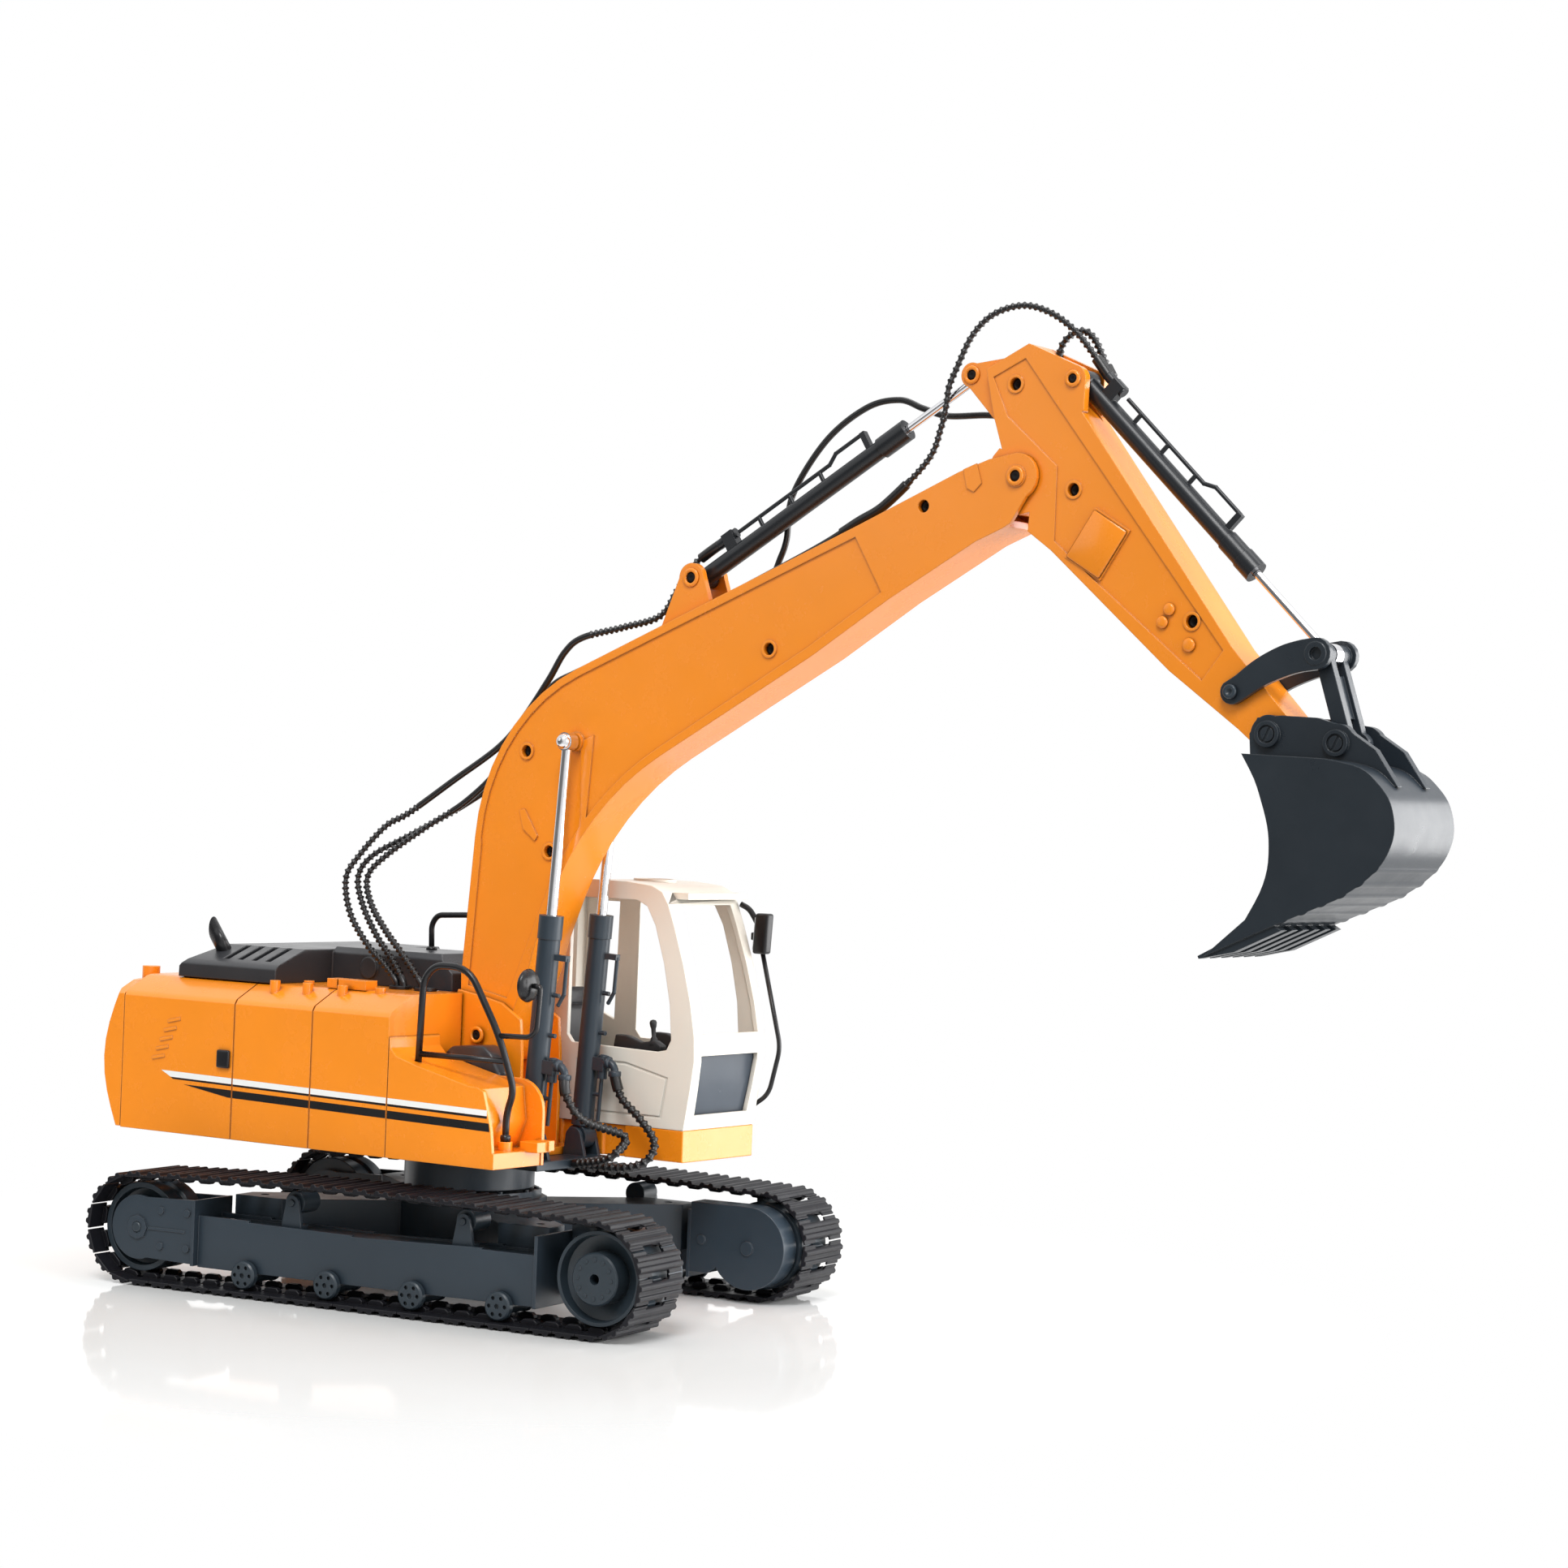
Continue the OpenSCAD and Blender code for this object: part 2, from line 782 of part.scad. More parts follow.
boom_outline = concat(
  [[7.6, 146]],
  arc([102.4, 203], 90, 176, 113, 9),
  [[214.6, 348.2], [262.7, 369.3], [277, 374.2]],
  arc(stick_pivot, 9.6, 90, -60, 8),
  [[288, 347.6], [284, 345.4], [272, 340.4], [230.5, 316.6]],
  [[192.8, 292.5]],
  arc([182.1, 131], 135, 119.9, 158, 8),
  [[50.4, 165.3], [46, 150]],
  arc(boom_pivot, 13, 10, -170, 10));

// sunk panel of the boom side, one rim width inside the outline
boom_panel = concat(
  [[11.8, 141.5], [16.3, 206]],
  arc([102.4, 203], 86.6, 176, 113, 9),
  [[212.6, 343], [226.6, 319.6], [190.6, 296.4]],
  arc([182.1, 131], 138.8, 119.9, 154, 8),
  [[34.5, 137]]);

module boom() {
  color("darkorange")
    difference() {
      union() {
        slab(boom_near, boom_far)
          polygon(boom_outline);
        for (y = [boom_near - 0.8, boom_far - 0.2])
          pin(stick_pivot, y, y + 1, 4.6);
        for (y = [boom_near, boom_far - 1])
          for (p = [[40.4, 248.6], [55.2, 204], [170.5, 295.4]])
            pin(p, y, y + 1, screw_ring);
        for (y = [yb - 9.5, yb + 6.5])
          slab(y, y + 3)
            union() {
              translate(ear_pin)
                circle(6.4);
              polygon([[108, 298], [137, 314], [132.2, 327.6], [121.6, 331.2]]);
            }
        for (y = [boom_near - 1.6, boom_far])
          pin(boom_pin, y, y + 1.6, 4.2);
        for (y = [boom_near, boom_far - 0.8])
          slab(y, y + 0.8)
            polygon([[71, 253.5], [78, 256.5], [75, 214.5], [72.8, 213]]);
        slab(boom_near, boom_near + 1.4)
          polygon([[37.6, 222], [40.6, 222.6], [48.4, 210.6], [47, 208.4], [40, 213.6]]);
        for (y = [boom_near - 0.6, boom_far - 0.2])
          slab(y, y + 0.8)
            polygon([[265, 370.2], [271.4, 372.6], [274, 364.4], [270.4, 360.8], [267, 362.4]]);
      }
      for (y = [boom_near - 0.1, boom_far - 0.8])
        slab(y, y + 0.9)
          difference() {
            polygon(boom_panel);
            for (p = [[40.4, 248.6], [55.2, 204], [170.5, 295.4]])
              translate(p)
                circle(screw_ring);
            polygon([[71, 253.5], [78, 256.5], [75, 214.5], [72.8, 213]]);
            translate(boom_pin)
              circle(4.6);
            polygon([[37.6, 222], [40.6, 222.6], [48.4, 210.6], [47, 208.4], [40, 213.6]]);
          }
      for (p = [[40.4, 248.6], [55.2, 204], [170.5, 295.4], [246, 355.4]]) {
        pin(p, boom_near - 1, boom_near + 4, screw_hole);
        pin(p, boom_far - 4, boom_far + 1, screw_hole);
      }
      slab(yb - 10.3, yb + 10.3)
        union() {
          translate(stick_pivot)
            circle(18.2);
          translate([286, 340])
            square([40, 60]);
        }
      slab(yb - 6.5, yb + 6.5)
        translate(ear_pin)
          circle(8.2);
      pin(ear_pin, yb - 20, yb + 20, 1.7 + fit);
      pin(boom_pivot, boom_near - 1, boom_far + 1, 2.5 + fit);
      for (y = [boom_near - 3, boom_far - 1.4])
        pin(stick_pivot, y, y + 4.4, 2.1);
      pin(stick_pivot, yb - 14, yb + 14, 2 + fit);
    }
  color("darkorange")
    for (side = [-1, 1])
      pin(boom_pin, yb + side * (cyl_out - 1.4) - 3.2, yb + side * (cyl_out - 1.4) + 3.2, 1.5);
}

// ---------- hydraulic cylinders ----------

// puts a cylinder drawn along +x onto the line from p to q in plane y
module lay(p, q, y) {
  translate([p[0], y, p[1]])
    rotate([0, -atan2(q[1] - p[1], q[0] - p[0]), 0])
      children();
}

// small pipe beside a barrel: posts along x, height above the axis, sign of z
module outside_pipe(x0, x1, posts, h, up) {
  kink = x1 - 22;
  for (x = posts)
    bar([x, 0, up * 3], [x, 0, up * h], 1);
  translate([x1 - 2.4, -1.6, min(up * 3, up * (h + 3))])
    cube([2.6, 3.2, h]);
  tube([[x0, 0, up * h], [kink, 0, up * h], [kink + 5, 0, up * (h + 2.6)],
    [x1 - 1, 0, up * (h + 2.6)]], 0.9);
}

// blocky hose connector at the foot end of a barrel
module connector(x, h, up) {
  translate([x - 3, -2.6, min(up * 3, up * (h + 2))])
    cube([6, 5.2, h - 1]);
  bar([x - 6.5, 0, up * h], [x + 4, 0, up * h], 2.3);
}

module boom_cylinder_barrel(side) {
  r = boom_barrel_radius;
  color("darkslategray")
    lay(foot_pin, boom_pin, yb + side * cyl_out) {
      difference() {
        union() {
          rotate([0, 90, 0])
            translate([0, 0, 5.2])
              cylinder(h = 95.8, r = r);
          rotate([0, 90, 0])
            translate([0, 0, 90.5])
              cylinder(h = 10.5, r = r + 0.5);
          pin([0, 0], -3.8, 3.8, 5.5);
          outside_pipe(44, 84, [66, 48], 8.4, -1);
          connector(34, 8.6, -1);
          bar([20, 0, -3], [20, 0, -8], 0.9);
          bar([8, 0, -8.6], [34, 0, -8.6], 0.9);
        }
        rotate([0, 90, 0])
          translate([0, 0, 10])
            cylinder(h = 100, r = 2.7);
        pin([0, 0], -10, 10, pin_radius + fit);
      }
    }
}

// rod with an open eye around the boom pin and a round cap over it
module boom_cylinder_rod(side) {
  len = norm(boom_pin - foot_pin);
  color("silver")
    lay(foot_pin, boom_pin, yb + side * cyl_out)
      difference() {
        union() {
          rotate([0, 90, 0])
            translate([0, 0, 52])
              cylinder(h = len - 55.5, r = 2.4);
          pin([len, 0], -2.6, 2.6, 4.1);
          translate([len, side * 2.6, 0])
            sphere(3.6, $fn = 32);
        }
        pin([len, 0], side > 0 ? -10 : -2.2, side > 0 ? 2.2 : 10, 3);
      }
}

module stick_cylinder_barrel() {
  color("darkslategray")
    lay(ear_pin, lug_pin, yb)
      difference() {
        union() {
          rotate([0, 90, 0])
            translate([0, 0, 2])
              cylinder(h = 118, r = 3.9);
          rotate([0, 90, 0])
            translate([0, 0, 106])
              cylinder(h = 14.6, r = 4.7);
          pin([0, 0], -5.9, 5.9, 3.9);
          pin([0, 0], -9, 9, 1.7);
          outside_pipe(26, 102, [38, 56, 74], 8.2, 1);
          connector(21, 8.6, 1);
        }
        rotate([0, 90, 0])
          translate([0, 0, 7])
            cylinder(h = 130, r = 1.95);
      }
}

module stick_cylinder_rod() {
  len = norm(lug_pin - ear_pin);
  color("silver")
    lay(ear_pin, lug_pin, yb)
      difference() {
        union() {
          rotate([0, 90, 0])
            translate([0, 0, 60])
              cylinder(h = len - 63.5, r = 1.7);
          pin([len, 0], -2.4, 2.4, 4.4);
        }
        pin([len, 0], -10, 10, 3.6);
      }
}

module bucket_cylinder_barrel() {
  color("darkslategray")
    lay(horn_pin, cross_pin, yb)
      difference() {
        union() {
          rotate([0, 90, 0])
            translate([0, 0, 2])
              cylinder(h = 110.5, r = 4);
          rotate([0, 90, 0])
            translate([0, 0, 94])
              cylinder(h = 18.5, r = 4.5);
          rotate([0, 90, 0])
            translate([0, 0, 104])
              cylinder(h = 8.6, r = 4.9);
          pin([0, 0], -4.7, 4.7, 4.6);
          outside_pipe(20, 92, [29, 47, 65], 8.4, 1);
          connector(13, 8.8, 1);
        }
        rotate([0, 90, 0])
          translate([0, 0, 8])
            cylinder(h = 130, r = 1.95);
        pin([0, 0], -10, 10, 1.8 + fit);
      }
}

module bucket_cylinder_rod() {
  len = norm(cross_pin - horn_pin);
  color("silver")
    lay(horn_pin, cross_pin, yb)
      difference() {
        union() {
          rotate([0, 90, 0])
            translate([0, 0, 60])
              cylinder(h = len - 63.5, r = 1.7);
          pin([len, 0], -3, 3, 4.6);
        }
        pin([len, 0], -10, 10, 3.5);
      }
}

// ---------- stick and bucket ----------

stick_outline = concat(
  [[272.5, 411.8], [292.4, 421.6], [297, 419.4], [317.8, 393.5], [390, 297.5], [415.6, 270]],
  arc(bucket_pin, 8.4, 30, -130, 8),
  [[393.8, 265.5], [362.3, 288.1], [324.1, 321.1], [306.2, 336.6], [295, 344.5]],
  arc(stick_pivot, 15.6, 290, 130, 10),
  [[281.4, 378.4], [276.6, 393]]);

stick_panel = [[276, 408.4], [291, 415.6], [304, 399], [386, 296.4], [377, 284.4], [325, 325.8],
  [307.6, 340.4], [307.6, 371], [283.4, 392]];

module stick() {
  near = yb - stick_width / 2;
  far = yb + stick_width / 2;
  color("darkorange")
    difference() {
      union() {
        slab(near, far)
          polygon(stick_outline);
        for (y = [yb - 6.4, yb + 3])
          slab(y, y + 3.4)
            union() {
              translate(lug_pin)
                circle(5.2);
              polygon([[262, 405.4], [281, 385], [284, 417], [260.6, 414.4]]);
            }
        for (y = [near, far - 4])
          slab(y, y + 4)
            union() {
              translate(horn_pin)
                circle(5.6);
              polygon([[294, 421], [300, 388], [319, 393], [319.3, 405.2], [316.4, 411.3]]);
            }
        for (y = [near - 0.5, far - 0.5])
          pin(horn_pin, y, y + 1, 3.6);
        for (y = [near - 0.3, far - 0.7])
          slab(y, y + 1)
            polygon([[326.4, 353.8], [342.6, 344.2], [329.6, 324], [313, 333.6]]);
      }
      for (y = [near - 0.1, far - 0.6])
        slab(y, y + 0.7)
          difference() {
            polygon(stick_panel);
            for (p = [[286.6, 405.2], [315.6, 361.2], [371.6, 307.8]])
              translate(p)
                circle(screw_ring);
            polygon([[326.4, 353.8], [342.6, 344.2], [329.6, 324], [313, 333.6]]);
            for (p = [[361.5, 312.6], [358.6, 307.4]])
              translate(p)
                circle(2.2);
            translate([370.8, 298.4])
              circle(2.4);
          }
      for (p = [[286.6, 405.2], [315.6, 361.2], [371.6, 307.8]]) {
        pin(p, near - 1, near + 4, screw_hole);
        pin(p, far - 4, far + 1, screw_hole);
      }
      slab(yb - 3, yb + 3)
        translate(lug_pin)
          circle(9.6);
      slab(yb - 5.1, yb + 5.1)
        union() {
          translate(horn_pin)
            circle(7.4);
          polygon([[311, 399], [323, 387.6], [340, 400], [328, 412]]);
        }
      pin(horn_pin, yb - 20, near + 1.2, 1.9);
      pin(bucket_pin, yb - 20, yb + 20, pin_radius + fit);
    }
  color("darkorange") {
    pin(stick_pivot, near - 1.8, far + 1.8, 2);
    pin(lug_pin, yb - 6, yb + 6, 1.6);
    pin(horn_pin, near + 1.2, far - 1.2, 1.8);
    pin(rocker_pin, near - 4.4, far + 4.4, pin_radius);
  }
}

// curved outline of one rocker link
rocker_outline = concat(
  arc(rocker_pin, 5, 140, 305, 8),
  smooth_route([[397.4, 277.4], [403.7, 281.4], [409.3, 284.1], [416.9, 286.9], [422, 288.2]], 3),
  arc(cross_pin, 6.3, -80, 95, 8),
  smooth_route([[421, 300.6], [414.1, 298.8], [407.2, 295.8], [400.3, 291.8], [393.4, 286.4]], 3));

// two rocker links joined by the cross pin
module rocker_links() {
  near = yb - stick_width / 2;
  far = yb + stick_width / 2;
  color("darkslategray")
    difference() {
      union() {
        for (y = [near - 3.4, far + 0.4])
          slab(y, y + 3)
            polygon(rocker_outline);
        for (y = [near - 3.8, far + 3.2])
          pin(cross_pin, y, y + 0.6, 4.6);
      }
      pin(rocker_pin, yb - 30, yb + 30, pin_radius + fit);
      pin(cross_pin, near - 5, near - 1.9, 2.5);
      pin(cross_pin, far + 1.9, far + 5, 2.5);
    }
  color("darkslategray") {
    pin(cross_pin, near - 1.9, far + 1.9, 1.8);
    pin(cross_pin, near - 1, yb - 8.2, 4.4);
    pin(cross_pin, yb + 8.2, far + 1, 4.4);
  }
}

// H-shaped link from the cross pin down to the bucket
module push_link() {
  color("darkslategray")
    lay(cross_pin, link_pin, yb) {
      len = norm(link_pin - cross_pin);
      difference() {
        union() {
          for (y = [-7.9, 3.5])
            slab(y, y + 4.4)
              union() {
                circle(4.4);
                translate([0, -3.2])
                  square([len, 6.4]);
                translate([len, 0])
                  circle(5);
              }
          translate([9, -4, -1.6])
            cube([len - 19, 8, 3.2]);
        }
        pin([0, 0], -20, 20, 1.8 + fit);
        pin([len, 0], -20, 20, 3.7);
      }
    }
}

// outline of the bucket side plates and of the curved shell
bucket_side = concat(
  smooth_route([[404.6, 255.6], [410.4, 246], [414, 237], [416.8, 228],
  [417.8, 220], [417.4, 211], [414.6, 202], [408.8, 191.4]], 3), [[391.3, 176.2], [420, 189.3]],
  smooth_route([[446.8, 200.8], [456, 206.6], [463.6, 213.4], [468, 220.6], [469.8, 228.6],
  [467.8, 238.2], [462.6, 245.4], [454.6, 251.4], [440, 254.4]], 4));
bucket_hollow = concat(
  [[407, 252.6], [380, 240], [370, 180], [397, 180.2], [420.6, 191.6]],
  smooth_route([[445.4, 202.6], [454.4, 208.4], [461.4, 214.6], [465.4, 221.4], [467, 228.6],
  [465.2, 237.2], [460.6, 243.4], [453.4, 248.6], [439.6, 251.6]], 4));
// low wear ridges across the curved shell, each a point on the shell and the way inwards
bucket_ridges = [[[425, 191.7], [-0.4, 0.92]], [[433.3, 195.2], [-0.4, 0.92]],
  [[441.3, 198.7], [-0.42, 0.91]], [[449.2, 202.4], [-0.5, 0.87]], [[456.6, 207.3], [-0.62, 0.78]],
  [[462.6, 212.9], [-0.72, 0.69]]];

module bucket() {
  w = bucket_width / 2;
  in = stick_width / 2;
  ear = concat([[402, 255.6], [401.4, 263.6], [404.6, 270]], [[415, 271], [430, 270.4], [441, 267.4],
    [455, 258.6], [464.8, 244.6], [440, 252]]);
  color("darkslategray")
    difference() {
      union() {
        slab(yb - w, yb + w)
          polygon(bucket_side);
        for (y = [yb - in - 5.2, yb + in + 1.2])
          difference() {
            slab(y, y + 4)
              union() {
                polygon(ear);
                translate(bucket_pin)
                  circle(7.6);
                translate(link_pin)
                  circle(7.6);
              }
          }
        for (i = [0:5])
          slab(yb - w + 1 + i * (bucket_width - 7) / 5, yb - w + 6 + i * (bucket_width - 7) / 5)
            polygon([[418, 191.4], [402, 183.4], [388.5, 176.3], [389, 175.2], [404, 178.6], [424, 188]]);
        for (ridge = bucket_ridges)
          slab(yb - w, yb + w)
            translate(ridge[0] + 3.5 * ridge[1])
              circle(4.2);
        for (p = [bucket_pin, link_pin])
          for (y = [yb - in - 7, yb + in + 5])
            pin(p, y, y + 2, 5.2);
      }
      slab(yb - w + 2.2, yb + w - 2.2)
        polygon(bucket_hollow);
      slab(yb - in - 1.2, yb + in + 1.2)
        union() {
          polygon([[396, 256.4], [396, 280], [450, 280], [450, 254.6], [440, 255.4]]);
          translate(bucket_pin)
            circle(10.2);
        }
      for (p = [bucket_pin, link_pin]) {
        pin(p, yb - in - 8, yb - in - 6, 3.6);
        pin(p, yb + in + 6, yb + in + 8, 3.6);
      }
    }
  color("darkslategray")
    difference() {
      for (p = [bucket_pin, link_pin])
        union() {
          pin(p, yb - in - 6.6, yb + in + 6.6, pin_radius);
          pin(p, yb - in - 6.6, yb - in - 5, 2.9);
          pin(p, yb + in + 5, yb + in + 6.6, 2.9);
        }
      for (p = [bucket_pin, link_pin])
        for (y = [yb - in - 7.1, yb + in + 6.1])
          translate([p[0], y, p[1]])
            rotate([0, 25, 0])
              translate([-0.5, 0, -4])
                cube([1, 1, 8]);
    }
}

// ---------- hoses and cable ----------

// tube of eight sides swept along a smooth route
function mixed(a, b, c, d, t) =
  0.5 * ((2 * b) + (c - a) * t + (2 * a - 5 * b + 4 * c - d) * t * t + (3 * b - a - 3 * c + d) * t * t * t);
function route_point(p, i, t) = let (n = len(p) - 1)
  mixed(p[max(i - 1, 0)], p[i], p[min(i + 1, n)], p[min(i + 2, n)], t);
function smooth_route(p, k) = concat(
  [for (i = [0:len(p) - 2], j = [0:k - 1]) route_point(p, i, j / k)],
  [p[len(p) - 1]]);
function unit(v) = v / norm(v);
module hose(path, r, k) {
  q = smooth_route(path, k);
  n = len(q);
  sides = 8;
  pts = [for (i = [0:n - 1])
    let (t = unit(q[min(i + 1, n - 1)] - q[max(i - 1, 0)]))
    let (u = unit(cross(t, [0, 1, 0.02])))
    let (v = cross(t, u))
    for (s = [0:sides - 1]) q[i] + r * (u * cos(s * 45) + v * sin(s * 45))];
  skin = [for (i = [0:n - 2], s = [0:sides - 1])
    [i * sides + s, i * sides + (s + 1) % sides, (i + 1) * sides + (s + 1) % sides, (i + 1) * sides + s]];
  caps = [[for (s = [sides - 1:-1:0]) s], [for (s = [0:sides - 1]) (n - 1) * sides + s]];
  color("black")
    polyhedron(
      points = pts,
      faces = concat(
        [for (f = skin) [f[0], f[3], f[2], f[1]]],
        [for (f = caps) [for (j = [sides - 1:-1:0]) f[j]]]),
      convexity = 6);
}

// hose routes: from the deck collars over the boom, in order along each hose
route_stick_hose = [[-21.8, -31, 138.3], [-21.8, -31, 139.8], [-23, -31, 142.5], [-31, -30, 149],
  [-42, -29, 157], [-55, -27, 171], [-61, -24, 187], [-55, -22, 198], [-43, -18, 212],
  [-31, -16, 218.5], [-8, -13, 234], [16, -10.5, 250], [29, -10, 263], [43, -10, 281], [52, -10, 294],
  [62, -10, 300.5], [84, -10, 305], [104, -10, 310], [112, -9, 321], [119, -8.3, 331.5],
  [126.5, -8.3, 337], [133.8, -8.3, 341.4]];
route_bucket_hose = [[-6.8, -31, 138.3], [-6.8, -31, 139.8], [-8.5, -31, 142.8], [-22, -29, 155],
  [-34, -26, 164], [-47, -22, 176], [-53, -18, 188], [-45, -15, 198], [-25, -11, 212], [-6, -7, 224],
  [11, -5, 239], [20, -4, 255], [30, -4, 267], [42, -5, 279], [56, -6, 285], [78, -7, 293],
  [100, -8.3, 302.4], [126, -8.3, 313.4], [160, -10, 327.6], [190, -12, 340.4], [208, -12.2, 350],
  [222, -12.2, 357.5], [242, -12.2, 375.5], [248, -12.4, 389], [250.4, -12.7, 399], [251, -12.2, 406],
  [252.8, -9.6, 414], [259, -8.3, 427.5], [269, -8.3, 436], [283, -8.3, 439], [296, -8.3, 435.5],
  [308, -8.3, 427.5], [318, -8.3, 416.5], [324.5, -8.3, 408.3]];
route_boom_hose = [[-17.4, -31, 138.3], [-17.4, -31, 139.8], [-18.8, -30.6, 142.5], [-28, -28, 151.5],
  [-39, -26, 161], [-51, -23, 175], [-57, -20, 188], [-52, -16, 198], [-37, -8, 208], [-17, -2, 219.5],
  [3, 0, 231], [12.6, 0.4, 237]];
route_stick_cable = [[158, -1.5, 327.2], [161, -1.5, 334.5], [164.5, -1.5, 344], [167, -1.5, 363.5],
  [183, -1, 386.5], [203, -1, 400], [219, 0, 403], [231, 0, 399], [243, 0.4, 395.5], [262, 0.4, 395.2],
  [276, 0.2, 394]];

module stick_hose() {
  hose(route_stick_hose, 1.6, 3);
}

module bucket_hose() {
  hose(route_bucket_hose, 1.6, 3);
}

module boom_hose() {
  hose(route_boom_hose, 1.6, 3);
}

module stick_cable() {
  hose(route_stick_cable, 1.4, 3);
}

// hose from the connector of a boom cylinder down to the front edge of the floor
module cylinder_hose(side) {
  y = yb + side * cyl_out;
  route = side < 0
    ? [[73.6, y, 104], [76, y - 1, 96], [82, y + 4, 86], [88, 0, 78], [90, -9, 71], [82, -10, 67],
      [67, -9, 64.6]]
    : [[73.6, y, 104], [78, y, 94], [88, y, 86], [98, 9, 76], [98, 4, 68], [88, 0, 64], [67, -3, 63.6]];
  hose(route, 1.8, 3);
}

// parts in build order, by name

placed() undercarriage_frame();
placed() slew_flange();
placed() track_frame(1);  // track_frame_right
placed() track_frame(-1);  // track_frame_left
placed() idler_guards();
placed() final_drives();
placed() track_shoes(1);  // track_shoes_right
placed() track_shoes(-1);  // track_shoes_left
placed() carrier_brackets();
placed() idler(1);  // idler_right
placed() idler(-1);  // idler_left
placed() drive_wheel(1);  // drive_wheel_right
placed() drive_wheel(-1);  // drive_wheel_left
placed() track_roller(1, 0);  // track_roller_right_1
placed() track_roller(1, 1);  // track_roller_right_2
placed() track_roller(1, 2);  // track_roller_right_3
placed() track_roller(1, 3);  // track_roller_right_4
placed() track_roller(-1, 0);  // track_roller_left_1
placed() track_roller(-1, 1);  // track_roller_left_2
placed() track_roller(-1, 2);  // track_roller_left_3
placed() track_roller(-1, 3);  // track_roller_left_4
placed() carrier_roller(1, 0);  // carrier_roller_right_rear
placed() carrier_roller(1, 1);  // carrier_roller_right_front
placed() carrier_roller(-1, 0);  // carrier_roller_left_rear
placed() carrier_roller(-1, 1);  // carrier_roller_left_front
placed() turntable_deck();
placed() cylinder_foot_bracket();
placed() right_body_panel();
placed() left_body_panel();
placed() counterweight();
placed() engine_hood();
placed() exhaust();
placed() front_fender_right();
placed() cab_base();
placed() cab_shell();
placed() cab_lower_window();
placed() cab_controls();
placed() handrail_right();
placed() handrail_rear();
placed() mirror_left();
placed() hose_grommets();
placed() boom();
placed() boom_cylinder_barrel(-1);  // boom_cylinder_barrel_right
placed() boom_cylinder_barrel(1);  // boom_cylinder_barrel_left
placed() boom_cylinder_rod(-1);  // boom_cylinder_rod_right
placed() boom_cylinder_rod(1);  // boom_cylinder_rod_left
placed() stick();
placed() stick_cylinder_barrel();
placed() stick_cylinder_rod();
placed() bucket_cylinder_barrel();
placed() bucket_cylinder_rod();
placed() rocker_links();
placed() push_link();
placed() bucket();
placed() stick_hose();
placed() bucket_hose();
placed() boom_hose();
placed() stick_cable();
placed() cylinder_hose(-1);  // cylinder_hose_right
placed() cylinder_hose(1);  // cylinder_hose_left
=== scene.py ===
"""Looks of the crawler excavator model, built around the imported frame. Metres, +Z up, +X towards the bucket."""
import math

import bmesh
import bpy
from mathutils import Matrix, Vector


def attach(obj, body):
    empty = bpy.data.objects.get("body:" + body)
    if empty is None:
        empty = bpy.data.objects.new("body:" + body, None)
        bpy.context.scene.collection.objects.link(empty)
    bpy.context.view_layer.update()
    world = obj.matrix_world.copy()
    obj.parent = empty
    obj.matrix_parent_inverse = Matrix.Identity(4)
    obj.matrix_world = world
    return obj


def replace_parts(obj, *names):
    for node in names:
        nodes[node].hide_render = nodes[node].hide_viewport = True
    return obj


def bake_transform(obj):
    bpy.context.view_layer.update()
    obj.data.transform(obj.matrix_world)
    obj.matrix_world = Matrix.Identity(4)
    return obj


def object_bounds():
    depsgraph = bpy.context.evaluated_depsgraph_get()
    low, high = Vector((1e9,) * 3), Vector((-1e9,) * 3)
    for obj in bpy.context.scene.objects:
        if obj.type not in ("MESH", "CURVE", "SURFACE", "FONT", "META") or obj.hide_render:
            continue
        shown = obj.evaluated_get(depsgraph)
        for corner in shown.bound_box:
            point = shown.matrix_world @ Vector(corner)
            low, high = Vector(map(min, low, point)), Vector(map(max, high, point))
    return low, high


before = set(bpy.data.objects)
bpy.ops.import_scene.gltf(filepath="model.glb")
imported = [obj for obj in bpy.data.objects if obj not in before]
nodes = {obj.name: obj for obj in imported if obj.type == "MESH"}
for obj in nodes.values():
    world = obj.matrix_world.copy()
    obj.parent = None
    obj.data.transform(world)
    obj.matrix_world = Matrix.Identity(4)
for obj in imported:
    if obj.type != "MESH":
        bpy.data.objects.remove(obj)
cad_box = [list(corner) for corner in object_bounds()]

MM = 0.001
# the part's sub-shapes are dimensioned from the slew axis, which stands this far behind the origin
SLEW_X = -0.140
# middle of the boom and stick, and their half widths, in millimetres
BOOM_MID = -8.3
BOOM_HALF = 12.5
STICK_HALF = 9.9
# distance of the side walls of the house from its middle plane, in millimetres
SIDE_WALL = 74.02


def at(x, y, z):
    """A point given in millimetres from the slew axis, as metres in the shared frame."""
    return Vector((x * MM + SLEW_X, y * MM, z * MM))


# ---------- camera and light ----------


def make_camera():
    data = bpy.data.cameras.new("camera")
    cam = bpy.data.objects.new("camera", data)
    bpy.context.scene.collection.objects.link(cam)
    right = Vector((0.82658, 0.56156, 0.03773))
    up = Vector((-0.02855, -0.02512, 0.99928))
    back = Vector((0.56210, -0.82706, -0.00473))
    turn = Matrix((right, up, back)).transposed()
    cam.matrix_world = Matrix.Translation(at(1008.3, -1237.9, 230.8)) @ turn.to_4x4()
    data.sensor_width = 36
    data.lens = 79.16
    data.clip_start = 0.05
    data.clip_end = 50
    bpy.context.scene.camera = cam


